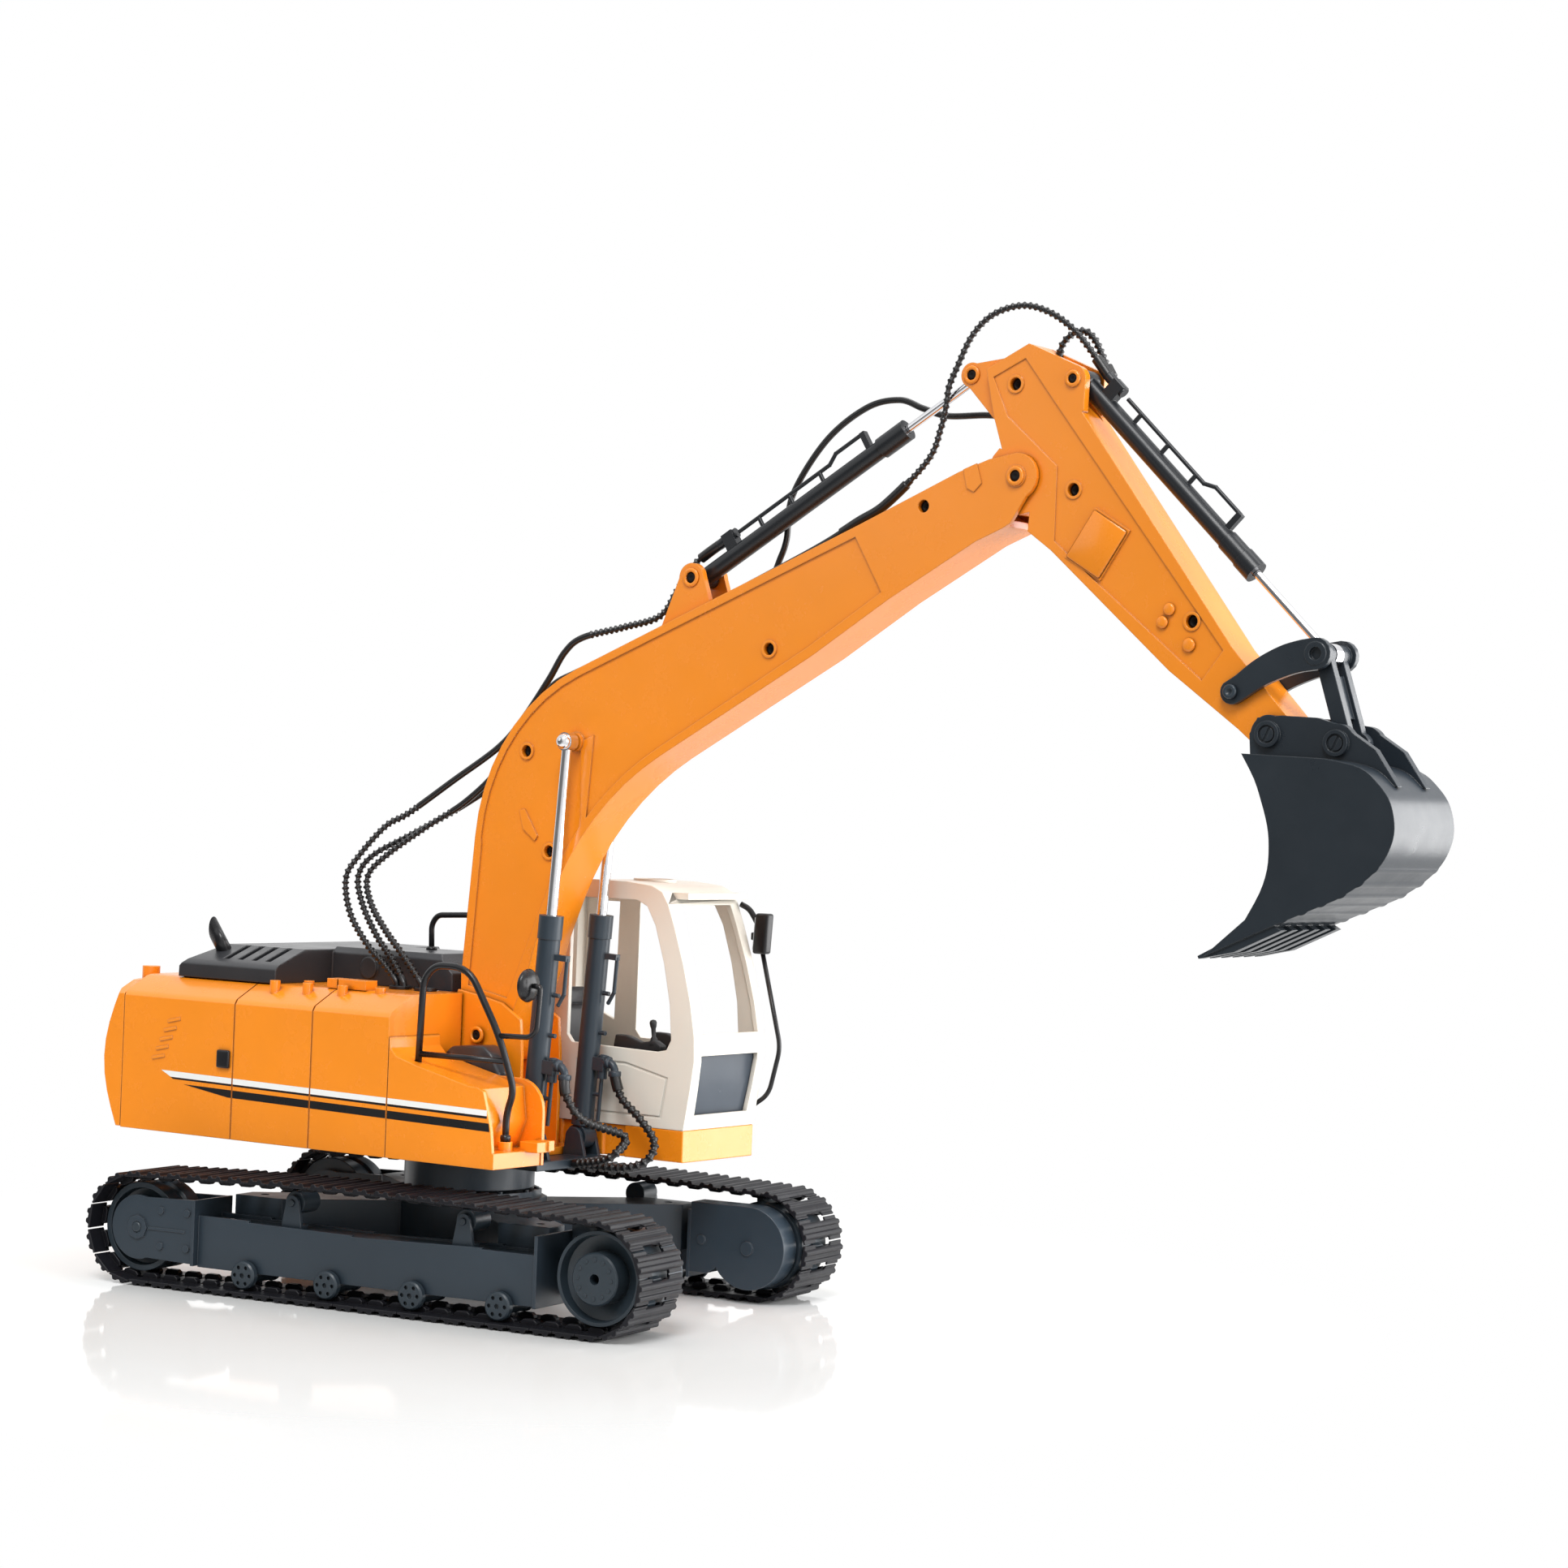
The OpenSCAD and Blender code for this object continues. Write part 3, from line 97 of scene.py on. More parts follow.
def area_light(name, place, target, size, power, tint=(1, 1, 1)):
    data = bpy.data.lights.new(name, "AREA")
    data.shape = "RECTANGLE"
    data.size, data.size_y = size
    data.energy = power
    data.color = tint
    lamp = bpy.data.objects.new(name, data)
    lamp.location = place
    lamp.rotation_euler = (Vector(target) - Vector(place)).to_track_quat("-Z", "Y").to_euler()
    bpy.context.scene.collection.objects.link(lamp)


def sun_light(name, direction, strength, spread):
    data = bpy.data.lights.new(name, "SUN")
    data.energy = strength
    data.angle = math.radians(spread)
    lamp = bpy.data.objects.new(name, data)
    lamp.rotation_euler = Vector(direction).to_track_quat("-Z", "Y").to_euler()
    bpy.context.scene.collection.objects.link(lamp)


def dark_flag(tree, place, towards, inner, outer, depth):
    """Darker patch of the surroundings: full depth within the inner angle, none beyond the outer one."""
    facing = tree.nodes.new("ShaderNodeVectorMath")
    facing.operation = "DOT_PRODUCT"
    facing.inputs[1].default_value = Vector(towards).normalized()
    tree.links.new(place, facing.inputs[0])
    fade = tree.nodes.new("ShaderNodeMapRange")
    fade.interpolation_type = "SMOOTHSTEP"
    fade.inputs[1].default_value = math.cos(math.radians(outer))
    fade.inputs[2].default_value = math.cos(math.radians(inner))
    fade.inputs[3].default_value, fade.inputs[4].default_value = 1.0, 1.0 - depth
    tree.links.new(facing.outputs["Value"], fade.inputs[0])
    return fade.outputs[0]


# direction, inner and outer angle in degrees, depth
DARK_FLAGS = (((-0.562, -0.827, 0.05), 24, 54, 0.80), ((0.97, 0.20, 0.1), 6, 18, 0.75),
              ((0.2, -1.0, -0.1), 8, 24, 0.35))


def make_world():
    """White surroundings: dimmer as a light than they look, and with dark flags that only reflections show."""
    world = bpy.data.worlds.new("studio")
    world.use_nodes = True
    tree = world.node_tree
    glow = tree.nodes["Background"]
    glow.inputs["Color"].default_value = (0.97, 1.0, 0.93, 1)
    glow.inputs["Strength"].default_value = 0.46
    seen = tree.nodes.new("ShaderNodeBackground")
    mirrored = tree.nodes.new("ShaderNodeBackground")
    path = tree.nodes.new("ShaderNodeLightPath")
    place = tree.nodes.new("ShaderNodeTexCoord").outputs["Generated"]
    level = None
    for flag in DARK_FLAGS:
        value = dark_flag(tree, place, *flag)
        if level is not None:
            both = tree.nodes.new("ShaderNodeMath")
            both.operation = "MULTIPLY"
            tree.links.new(level, both.inputs[0])
            tree.links.new(value, both.inputs[1])
            value = both.outputs[0]
        level = value
    tree.links.new(level, mirrored.inputs["Strength"])
    for shader in (seen, mirrored):
        shader.inputs["Color"].default_value = (1, 1, 1, 1)
    last = glow.outputs[0]
    for kind, shader in (("Is Glossy Ray", mirrored), ("Is Camera Ray", seen)):
        mix = tree.nodes.new("ShaderNodeMixShader")
        tree.links.new(path.outputs[kind], mix.inputs[0])
        tree.links.new(last, mix.inputs[1])
        tree.links.new(shader.outputs[0], mix.inputs[2])
        last = mix.outputs[0]
    tree.links.new(last, tree.nodes["World Output"].inputs[0])
    bpy.context.scene.world = world
    bpy.context.scene.view_settings.view_transform = "Standard"


def make_studio():
    make_world()
    sun_light("key", (-0.30, 0.56, -0.77), 1.95, 25)
    area_light("right_softbox", (1.5, 0.1, 0.45), (0.1, 0, 0.2), (1.2, 1.0), 15)
    area_light("back_softbox", (1.25, 1.15, 0.25), (0.15, 0, 0.22), (1.6, 1.2), 26)
    area_light("left_softbox", (-1.1, -1.2, 0.9), (0, 0, 0.15), (1.2, 1.0), 3.5)
    area_light("top_strip", (0.1, 0.4, 1.5), (0.05, 0, 0.2), (1.6, 0.5), 7)


def make_floor():
    """Glossy white floor that fades into the white surroundings with the distance from the machine."""
    mesh = bpy.data.meshes.new("floor")
    size = 1.5
    corners = [(-size, -size, 0), (size, -size, 0), (size, size, 0), (-size, size, 0)]
    mesh.from_pydata(corners, [], [(0, 1, 2, 3)])
    floor = bpy.data.objects.new("floor", mesh)
    floor.location = (SLEW_X, 0, cad_box[0][2] - 0.0001)
    bpy.context.scene.collection.objects.link(floor)
    mat, tree, shader = shader_graph("pale_floor")
    shader.inputs["Base Color"].default_value = (0.96, 0.96, 0.97, 1)
    shader.inputs["Roughness"].default_value = 0.06
    shader.inputs["Specular IOR Level"].default_value = 0.22
    place = tree.nodes.new("ShaderNodeTexCoord")
    reach = tree.nodes.new("ShaderNodeVectorMath")
    reach.operation = "LENGTH"
    tree.links.new(place.outputs["Object"], reach.inputs[0])
    fade = tree.nodes.new("ShaderNodeMapRange")
    fade.interpolation_type = "SMOOTHSTEP"
    fade.inputs[1].default_value, fade.inputs[2].default_value = 0.22, 0.42
    fade.inputs[3].default_value, fade.inputs[4].default_value = 1.0, 0.0
    tree.links.new(reach.outputs["Value"], fade.inputs[0])
    tree.links.new(fade.outputs[0], shader.inputs["Alpha"])
    mesh.materials.append(mat)


# ---------- materials ----------


def shader_graph(name):
    mat = bpy.data.materials.new(name)
    mat.use_nodes = True
    return mat, mat.node_tree, mat.node_tree.nodes["Principled BSDF"]


def noise(tree, scale, detail=4.0, roughness=0.5):
    place = tree.nodes.new("ShaderNodeTexCoord")
    node = tree.nodes.new("ShaderNodeTexNoise")
    node.inputs["Scale"].default_value = scale
    node.inputs["Detail"].default_value = detail
    node.inputs["Roughness"].default_value = roughness
    tree.links.new(place.outputs["Object"], node.inputs["Vector"])
    return node.outputs["Fac"]


def ramp(tree, value, stops):
    node = tree.nodes.new("ShaderNodeValToRGB")
    line = node.color_ramp
    line.elements[0].position, line.elements[0].color = stops[0][0], (*stops[0][1], 1)
    line.elements[1].position, line.elements[1].color = stops[-1][0], (*stops[-1][1], 1)
    for place, colour in stops[1:-1]:
        line.elements.new(place).color = (*colour, 1)
    tree.links.new(value, node.inputs[0])
    return node.outputs[0]


def spread(tree, value, low, high, source=(0.3, 0.7)):
    node = tree.nodes.new("ShaderNodeMapRange")
    node.inputs[1].default_value, node.inputs[2].default_value = source
    node.inputs[3].default_value, node.inputs[4].default_value = low, high
    tree.links.new(value, node.inputs[0])
    return node.outputs[0]


def bump(tree, height, distance, strength, below=None):
    node = tree.nodes.new("ShaderNodeBump")
    node.inputs["Strength"].default_value = strength
    node.inputs["Distance"].default_value = distance
    tree.links.new(height, node.inputs["Height"])
    if below is not None:
        tree.links.new(below, node.inputs["Normal"])
    return node.outputs[0]


def shade(colour, factor):
    return tuple(min(1.0, c * factor) for c in colour)


def blend_colours(tree, amount, first, second, mode="MIX"):
    node = tree.nodes.new("ShaderNodeMixRGB")
    node.blend_type = mode
    for socket, value in zip(node.inputs, (amount, first, second)):
        if isinstance(value, bpy.types.NodeSocket):
            tree.links.new(value, socket)
        else:
            socket.default_value = value
    return node.outputs[0]


def paint_edge_highlight(tree, tint, rounded, colour, edge_highlight):
    """Painted highlight: paler, slightly broken lines along the edges, standing in for the light that rounded edges
    catch.
    """
    if not edge_highlight:
        return tint
    flat = tree.nodes.new("ShaderNodeNewGeometry")
    facing = tree.nodes.new("ShaderNodeVectorMath")
    facing.operation = "DOT_PRODUCT"
    tree.links.new(flat.outputs["Normal"], facing.inputs[0])
    tree.links.new(rounded, facing.inputs[1])
    near = spread(tree, facing.outputs["Value"], edge_highlight, 0.0, (0.86, 0.995))
    broken = spread(tree, noise(tree, 160, 4, 0.6), 0.35, 1.0)
    both = tree.nodes.new("ShaderNodeMath")
    both.operation = "MULTIPLY"
    tree.links.new(near, both.inputs[0])
    tree.links.new(broken, both.inputs[1])
    highlight_tint = tuple(min(1.0, c * 1.25 + 0.10) for c in colour)
    return blend_colours(tree, both.outputs[0], tint, (*highlight_tint, 1))


def crease_shadow(tree, tint, depth):
    """Painted shade: darker colour in seams and inner corners, where ambient occlusion finds them."""
    if not depth:
        return tint
    near = tree.nodes.new("ShaderNodeAmbientOcclusion")
    near.samples = 6
    near.inputs["Distance"].default_value = 3.2 * MM
    open_sky = spread(tree, near.outputs["AO"], 1.0 - depth, 1.0, (0.25, 0.85))
    grey = tree.nodes.new("ShaderNodeCombineColor")
    for socket in grey.inputs[:3]:
        tree.links.new(open_sky, socket)
    return blend_colours(tree, 1.0, tint, grey.outputs[0], "MULTIPLY")


def moulded(name, colour, gloss, grain=0.05, mottle=0.05, coat=0.0, dust=None, edge=0.35, shine=0.4, edge_highlight=0.25,
            crease=0.5):
    """Injection-moulded plastic: faint mottling, fine grain, uneven gloss and soft edges, with a painted highlight
    along the edges and painted shade in the creases.
    """
    mat, tree, shader = shader_graph(name)
    patches = noise(tree, 22, 5, 0.6)
    stops = [(0.3, shade(colour, 1 - mottle)), (0.55, colour), (0.75, shade(colour, 1 + mottle))]
    tint = ramp(tree, patches, stops)
    if dust is not None:
        speck = noise(tree, 420, 6, 0.7)
        amount = spread(tree, speck, 0.0, 0.22, (0.55, 0.8))
        tint = blend_colours(tree, amount, tint, (*dust, 1))
    rounded = tree.nodes.new("ShaderNodeBevel")
    rounded.samples = 4
    rounded.inputs["Radius"].default_value = edge * MM
    # painted highlight along the edges
    tint = paint_edge_highlight(tree, tint, rounded.outputs[0], colour, edge_highlight)
    # painted shade in seams and inner corners
    tint = crease_shadow(tree, tint, crease)
    tree.links.new(tint, shader.inputs["Base Color"])
    smear = noise(tree, 60, 6, 0.65)
    tree.links.new(spread(tree, smear, gloss - 0.04, gloss + 0.07), shader.inputs["Roughness"])
    shader.inputs["Specular IOR Level"].default_value = shine
    if coat:
        shader.inputs["Coat Weight"].default_value = coat
        shader.inputs["Coat Roughness"].default_value = 0.12
    wave = noise(tree, 90, 3, 0.5)
    fine = noise(tree, 2600, 3, 0.6)
    broad = bump(tree, wave, 0.0006, 0.10, rounded.outputs[0])
    tree.links.new(bump(tree, fine, 0.00005, grain * 6, broad), shader.inputs["Normal"])
    return mat


def polished(name, colour, gloss):
    """Bright plated metal with fine turned lines and faint smears."""
    mat, tree, shader = shader_graph(name)
    shader.inputs["Metallic"].default_value = 1.0
    smear = noise(tree, 130, 5, 0.6)
    tree.links.new(ramp(tree, smear, [(0.3, shade(colour, 0.86)), (0.7, colour)]), shader.inputs["Base Color"])
    tree.links.new(spread(tree, smear, gloss, gloss + 0.10), shader.inputs["Roughness"])
    fine = noise(tree, 3200, 2, 0.5)
    tree.links.new(bump(tree, fine, 0.00002, 0.03), shader.inputs["Normal"])
    return mat


def make_materials():
    # each moulded material paints a highlight along its edges and shade in its creases; the keyword settings give
    # their strength
    return {
        "orange": moulded("orange_shell", (0.97, 0.284, 0.010), 0.24, 0.035, 0.03, coat=0.3, edge=0.7, shine=0.5,
                          edge_highlight=0.4, crease=0.7),
        "slate": moulded("slate_plastic", (0.026, 0.038, 0.052), 0.32, 0.06, 0.10, edge=0.4, edge_highlight=0.5),
        "bucket": moulded("bucket_plastic", (0.018, 0.025, 0.034), 0.30, 0.07, 0.10, edge=0.5, shine=0.5),
        "black": moulded("black_plastic", (0.010, 0.010, 0.012), 0.28, 0.05, 0.15, edge=0.3),
        "barrel": moulded("barrel_plastic", (0.014, 0.016, 0.020), 0.30, 0.012, 0.12, edge=0.3, shine=0.4),
        "hood": moulded("hood_plastic", (0.030, 0.031, 0.036), 0.30, 0.05, 0.10, coat=0.1, edge=1.1, shine=0.45),
        "track": moulded("track_plastic", (0.008, 0.008, 0.011), 0.42, 0.10, 0.18, dust=(0.04, 0.04, 0.05), edge=0.25,
                         shine=0.22, edge_highlight=0.5),
        "wheel": moulded("wheel_plastic", (0.024, 0.035, 0.046), 0.34, 0.08, 0.12, edge=0.3),
        "cream": moulded("cream_plastic", (0.87, 0.82, 0.74), 0.34, 0.03, 0.03, edge=0.7, shine=0.4),
        "window": moulded("window_plastic", (0.055, 0.068, 0.088), 0.22, 0.01, 0.08, shine=0.16),
        "hose": moulded("hose_rubber", (0.008, 0.008, 0.009), 0.30, 0.05, 0.2, edge=0.1, shine=0.5),
        "white": moulded("white_film", (0.90, 0.90, 0.90), 0.30, 0.02, 0.02, edge=0.02),
        "ink": moulded("black_film", (0.010, 0.010, 0.011), 0.28, 0.02, 0.1, edge=0.02),
        # near-black, darker than the black plastic: painted shade for the sunk screw heads and pin ends deep in their
        # holes
        "hollow": moulded("deep_shadow_plastic", (0.006, 0.005, 0.005), 0.55, 0.08, 0.2, edge=0.1, shine=0.2),
        "chrome": polished("chrome", (0.80, 0.80, 0.82), 0.05),
        "seat": moulded("seat_plastic", (0.020, 0.020, 0.023), 0.5, 0.15, 0.15, edge=0.6),
        "mirror": polished("mirror_face", (0.70, 0.72, 0.75), 0.04),
    }


MATERIAL_OF = {
    "orange": ["turntable_deck", "right_body_panel", "left_body_panel", "counterweight", "front_fender_right",
               "cab_base", "boom", "stick"],
    "slate": ["undercarriage_frame", "slew_flange", "track_frame_right", "track_frame_left", "idler_guards",
              "final_drives", "carrier_brackets", "cylinder_foot_bracket",
              "boom_cylinder_barrel_right", "boom_cylinder_barrel_left"],
    "barrel": ["stick_cylinder_barrel", "bucket_cylinder_barrel"],
    "bucket": ["bucket", "rocker_links", "push_link"],
    "hood": ["engine_hood"],
    "black": ["exhaust", "handrail_right", "handrail_rear", "mirror_left", "hose_grommets"],
    "seat": ["cab_controls"],
    "track": ["track_shoes_right", "track_shoes_left"],
    "cream": ["cab_shell"],
    "window": ["cab_lower_window"],
    "chrome": ["boom_cylinder_rod_right", "boom_cylinder_rod_left", "stick_cylinder_rod", "bucket_cylinder_rod"],
}
# moulded edges are rounded by this radius; thin or small parts take less
EDGE = {"track_shoes_right": 0.18, "track_shoes_left": 0.18, "mirror_left": 0.2, "handrail_right": 0.1,
        "handrail_rear": 0.1, "hose_grommets": 0.25, "counterweight": 1.1, "engine_hood": 0.9, "cab_shell": 0.55,
        "boom": 0.4, "stick": 0.4, "bucket": 0.45, "right_body_panel": 0.45, "left_body_panel": 0.7,
        "front_fender_right": 0.5, "cab_base": 0.5}
STANDARD_EDGE = 0.3


def paint(obj, mat):
    obj.data.materials.clear()
    obj.data.materials.append(mat)
    for face in obj.data.polygons:
        face.material_index = 0
        face.use_smooth = True


def soften(obj, radius):
    """Rounds the sharp edges of a moulded piece by a radius in millimetres."""
    if "custom_normal" in obj.data.attributes:
        obj.data.attributes.remove(obj.data.attributes["custom_normal"])
    weld = obj.modifiers.new("weld", "WELD")
    weld.merge_threshold = 0.000002
    flat = obj.modifiers.new("flat", "DECIMATE")
    flat.decimate_type = "DISSOLVE"
    flat.angle_limit = math.radians(0.4)
    flat.delimit = {"MATERIAL"}
    round_off = obj.modifiers.new("round", "BEVEL")
    round_off.width = radius * MM
    round_off.segments = 2
    round_off.limit_method = "ANGLE"
    round_off.angle_limit = math.radians(32)
    round_off.harden_normals = True
    round_off.use_clamp_overlap = True
    normals = obj.modifiers.new("normals", "WEIGHTED_NORMAL")
    normals.keep_sharp = True


def second_colour(obj, mat, inside):
    """Faces whose middle passes the test take a second material."""
    obj.data.materials.append(mat)
    for face in obj.data.polygons:
        if inside(face.center):
            face.material_index = 1


def dress_frame(mats):
    where = {node: key for key, names in MATERIAL_OF.items() for node in names}
    floor_of_house = at(0, 0, 66.4).z
    for name, obj in nodes.items():
        paint(obj, mats[where.get(name, "wheel")])
        if name == "turntable_deck":
            second_colour(obj, mats["slate"], lambda p: p.z < floor_of_house)
        if "cylinder_rod" not in name:
            soften(obj, EDGE.get(name, STANDARD_EDGE))


# ---------- mesh helpers ----------


def new_piece(name, verts, faces, mat, body, slot, smooth=True, join=None):
    """A mesh piece on a body; a join with a turn line leaves it unattached, with its transform baked, instead."""
    mesh = bpy.data.meshes.new(name)
    mesh.from_pydata([tuple(v) for v in verts], [], faces)
    mesh.materials.append(mat)
    obj = bpy.data.objects.new(name, mesh)
    bpy.context.scene.collection.objects.link(obj)
    shape = bmesh.new()
    shape.from_mesh(mesh)
    bmesh.ops.recalc_face_normals(shape, faces=shape.faces)
    shape.to_mesh(mesh)
    shape.free()
    for face in mesh.polygons:
        face.use_smooth = smooth
    if join and join.turn:
        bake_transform(obj)
    else:
        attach(obj, body)
    return obj


def curve_point(a, b, c, d, t):
    return 0.5 * ((2 * b) + (c - a) * t + (2 * a - 5 * b + 4 * c - d) * t * t + (3 * b - a - 3 * c + d) * t ** 3)


def smooth_route(points, step):
    """Points a step apart along the smooth curve through the given ones."""
    last = len(points) - 1
    fine = []
    for i in range(last):
        a, d = points[max(i - 1, 0)], points[min(i + 2, last)]
        fine += [curve_point(a, points[i], points[i + 1], d, k / 24) for k in range(24)]
    fine.append(points[last])
    out, travelled = [fine[0]], 0.0
    for p, q in zip(fine, fine[1:]):
        gap = (q - p).length
        while gap > 0 and travelled + gap >= step:
            p = p.lerp(q, (step - travelled) / gap)
            gap = (q - p).length
            travelled = 0.0
            out.append(p)
        travelled += gap
    if (out[-1] - fine[-1]).length > step * 0.4:
        out.append(fine[-1])
    else:
        out[-1] = fine[-1]
    return out


def path_length(path):
    return sum((q - p).length for p, q in zip(path, path[1:]))


def tube_mesh(path, radius_at, sides=14):
    """Swept tube; radius_at gives the radius for the distance travelled along the path."""
    verts, faces = [], []
    side = Vector((0, 1, 0.02))
    travelled = 0.0
    last = len(path) - 1
    for i, p in enumerate(path):
        along = (path[min(i + 1, last)] - path[max(i - 1, 0)]).normalized()
        u = along.cross(side).normalized()
        side = u.cross(along).normalized()
        r = radius_at(travelled)
        for k in range(sides):
            turn = 2 * math.pi * k / sides
            verts.append(p + r * (math.cos(turn) * u + math.sin(turn) * side))
        if i < last:
            travelled += (path[i + 1] - p).length
            for k in range(sides):
                a, b = i * sides + k, i * sides + (k + 1) % sides
                faces.append((a, b, b + sides, a + sides))
    faces.append(tuple(range(sides - 1, -1, -1)))
    faces.append(tuple(range(last * sides, (last + 1) * sides)))
    return verts, faces


def grow(piece, verts, faces):
    """Adds a shape to a (verts, faces) pair."""
    base = len(piece[0])
    piece[0].extend(verts)
    piece[1].extend(tuple(i + base for i in face) for face in faces)


def lathe(profile, centre, axis, sides=32):
    """Turned shape: profile points are (radius, distance along the axis) in millimetres."""
    axis = Vector(axis).normalized()
    u = axis.orthogonal().normalized()
    v = axis.cross(u)
    verts, faces = [], []
    for r, h in profile:
        for k in range(sides):
            turn = 2 * math.pi * k / sides
            verts.append(centre + MM * (h * axis + max(r, 0.01) * (math.cos(turn) * u + math.sin(turn) * v)))
    for i in range(len(profile) - 1):
        for k in range(sides):
            a, b = i * sides + k, i * sides + (k + 1) % sides
            faces.append((a, b, b + sides, a + sides))
    faces.append(tuple(range(sides - 1, -1, -1)))
    faces.append(tuple(range((len(profile) - 1) * sides, len(profile) * sides)))
    return verts, faces


def bent(points, radius, steps=6):
    """The given corners joined by straight runs, each corner rounded by a radius in millimetres."""
    out = [points[0]]
    for before, corner, after in zip(points, points[1:], points[2:]):
        a, b = before - corner, after - corner
        cut = min(radius * MM, 0.48 * a.length, 0.48 * b.length)
        start, end = corner + cut * a.normalized(), corner + cut * b.normalized()
        for k in range(steps + 1):
            t = k / steps
            out.append((1 - t) ** 2 * start + 2 * t * (1 - t) * corner + t * t * end)
    out.append(points[-1])
    return out


def block(low, high, bevel, segments=3, shape=None):
    """Box between two corners in millimetres with rounded edges; shape may move its corners first."""
    form = bmesh.new()
    bmesh.ops.create_cube(form, size=1)
    for v in form.verts:
        p = Vector((low[i] if v.co[i] < 0 else high[i] for i in range(3)))
        v.co = shape(p) if shape else p
    bmesh.ops.bevel(form, geom=form.edges[:], offset=bevel, segments=segments, profile=0.5, affect="EDGES")
    verts = [at(*v.co) for v in form.verts]
    faces = [tuple(v.index for v in f.verts) for f in form.faces]
    form.free()
    return verts, faces


def prism(profile, y0, y1, bevel):
    """Plate with an outline in the x-z plane, in millimetres, with rounded edges."""
    form = bmesh.new()
    ring = [form.verts.new((x, y0, z)) for x, z in profile]
    face = form.faces.new(ring)
    pushed = bmesh.ops.extrude_face_region(form, geom=[face])
    for v in pushed["geom"]:
        if isinstance(v, bmesh.types.BMVert):
            v.co.y = y1
    bmesh.ops.bevel(form, geom=form.edges[:], offset=bevel, segments=2, profile=0.5, affect="EDGES")
    form.verts.index_update()
    verts = [at(*v.co) for v in form.verts]
    faces = [tuple(v.index for v in f.verts) for f in form.faces]
    form.free()
    return verts, faces


# ---------- hoses ----------

# routes in millimetres from the slew axis, the same points as the part's own
ROUTES = {
    "stick_hose": [(-21.8, -31, 138.3), (-21.8, -31, 139.8), (-23, -31, 142.5), (-31, -30, 149), (-42, -29, 157),
                   (-55, -27, 171), (-61, -24, 187), (-55, -22, 198), (-43, -18, 212), (-31, -16, 218.5),
                   (-8, -13, 234), (16, -10.5, 250), (29, -10, 263), (43, -10, 281), (52, -10, 294),
                   (62, -10, 300.5), (84, -10, 305), (104, -10, 310), (112, -9, 321), (119, -8.3, 331.5),
                   (126.5, -8.3, 337), (133.8, -8.3, 341.4)],
    "bucket_hose": [(-6.8, -31, 138.3), (-6.8, -31, 139.8), (-8.5, -31, 142.8), (-22, -29, 155), (-34, -26, 164),
                    (-47, -22, 176), (-53, -18, 188), (-45, -15, 198), (-25, -11, 212), (-6, -7, 224),
                    (11, -5, 239), (20, -4, 255), (30, -4, 267), (42, -5, 279), (56, -6, 285), (78, -7, 293),
                    (100, -8.3, 302.4), (126, -8.3, 313.4), (160, -10, 327.6), (190, -12, 340.4),
                    (208, -12.2, 350), (222, -12.2, 357.5), (242, -12.2, 375.5), (248, -12.4, 389),
                    (250.4, -12.7, 399), (251, -12.2, 406), (252.8, -9.6, 414), (259, -8.3, 427.5),
                    (269, -8.3, 436), (283, -8.3, 439), (296, -8.3, 435.5), (308, -8.3, 427.5),
                    (318, -8.3, 416.5), (324.5, -8.3, 408.3)],
    "boom_hose": [(-17.4, -31, 138.3), (-17.4, -31, 139.8), (-18.8, -30.6, 142.5), (-28, -28, 151.5),
                  (-39, -26, 161), (-51, -23, 175), (-57, -20, 188), (-52, -16, 198), (-37, -8, 208),
                  (-17, -2, 219.5), (3, 0, 231), (12.6, 0.4, 237)],
    "stick_cable": [(158, -1.5, 327.2), (161, -1.5, 334.5), (164.5, -1.5, 344), (167, -1.5, 363.5),
                    (183, -1, 386.5), (203, -1, 400), (219, 0, 403), (231, 0, 399), (243, 0.4, 395.5),
                    (262, 0.4, 395.2), (276, 0.2, 394)],
    "cylinder_hose_right": [(73.6, -26.7, 104), (76, -27.7, 96), (82, -22.7, 86), (88, 0, 78), (90, -9, 71),
                            (82, -10, 67), (67, -9, 64.6)],
    "cylinder_hose_left": [(73.6, 10.1, 104), (78, 10.1, 94), (88, 10.1, 86), (98, 9, 76), (98, 4, 68),
                           (88, 0, 64), (67, -3, 63.6)],
}
HOSE_SPLIT = 17
ROUTES["bucket_hose_upper"] = ROUTES["bucket_hose"][HOSE_SPLIT:]
ROUTES["bucket_hose"] = ROUTES["bucket_hose"][:HOSE_SPLIT + 1]
ROUTES["stick_hose_short"] = [(298, -3, 417.4), (299.6, -3, 423), (304, -3, 426.9), (309.8, -3.2, 427.8),
                              (314.6, -3.6, 424.4), (318.4, -4.4, 418.6), (322, -5.4, 412.4), (325, -6.2, 408)]


class Hose:
    """How one hose is ribbed, how thick it is and which bodies it joins."""

    def __init__(self, node, ribbed, core=1.05, rib=1.65, smooth=1.5, pitch=2.75, sleeves=(), bodies=("boom",),
                 turn=None):
        self.node = node
        self.ribbed = ribbed
        self.core, self.rib, self.smooth, self.pitch = core * MM, rib * MM, smooth * MM, pitch * MM
        self.sleeves = sleeves
        self.bodies = bodies
        self.turn = turn
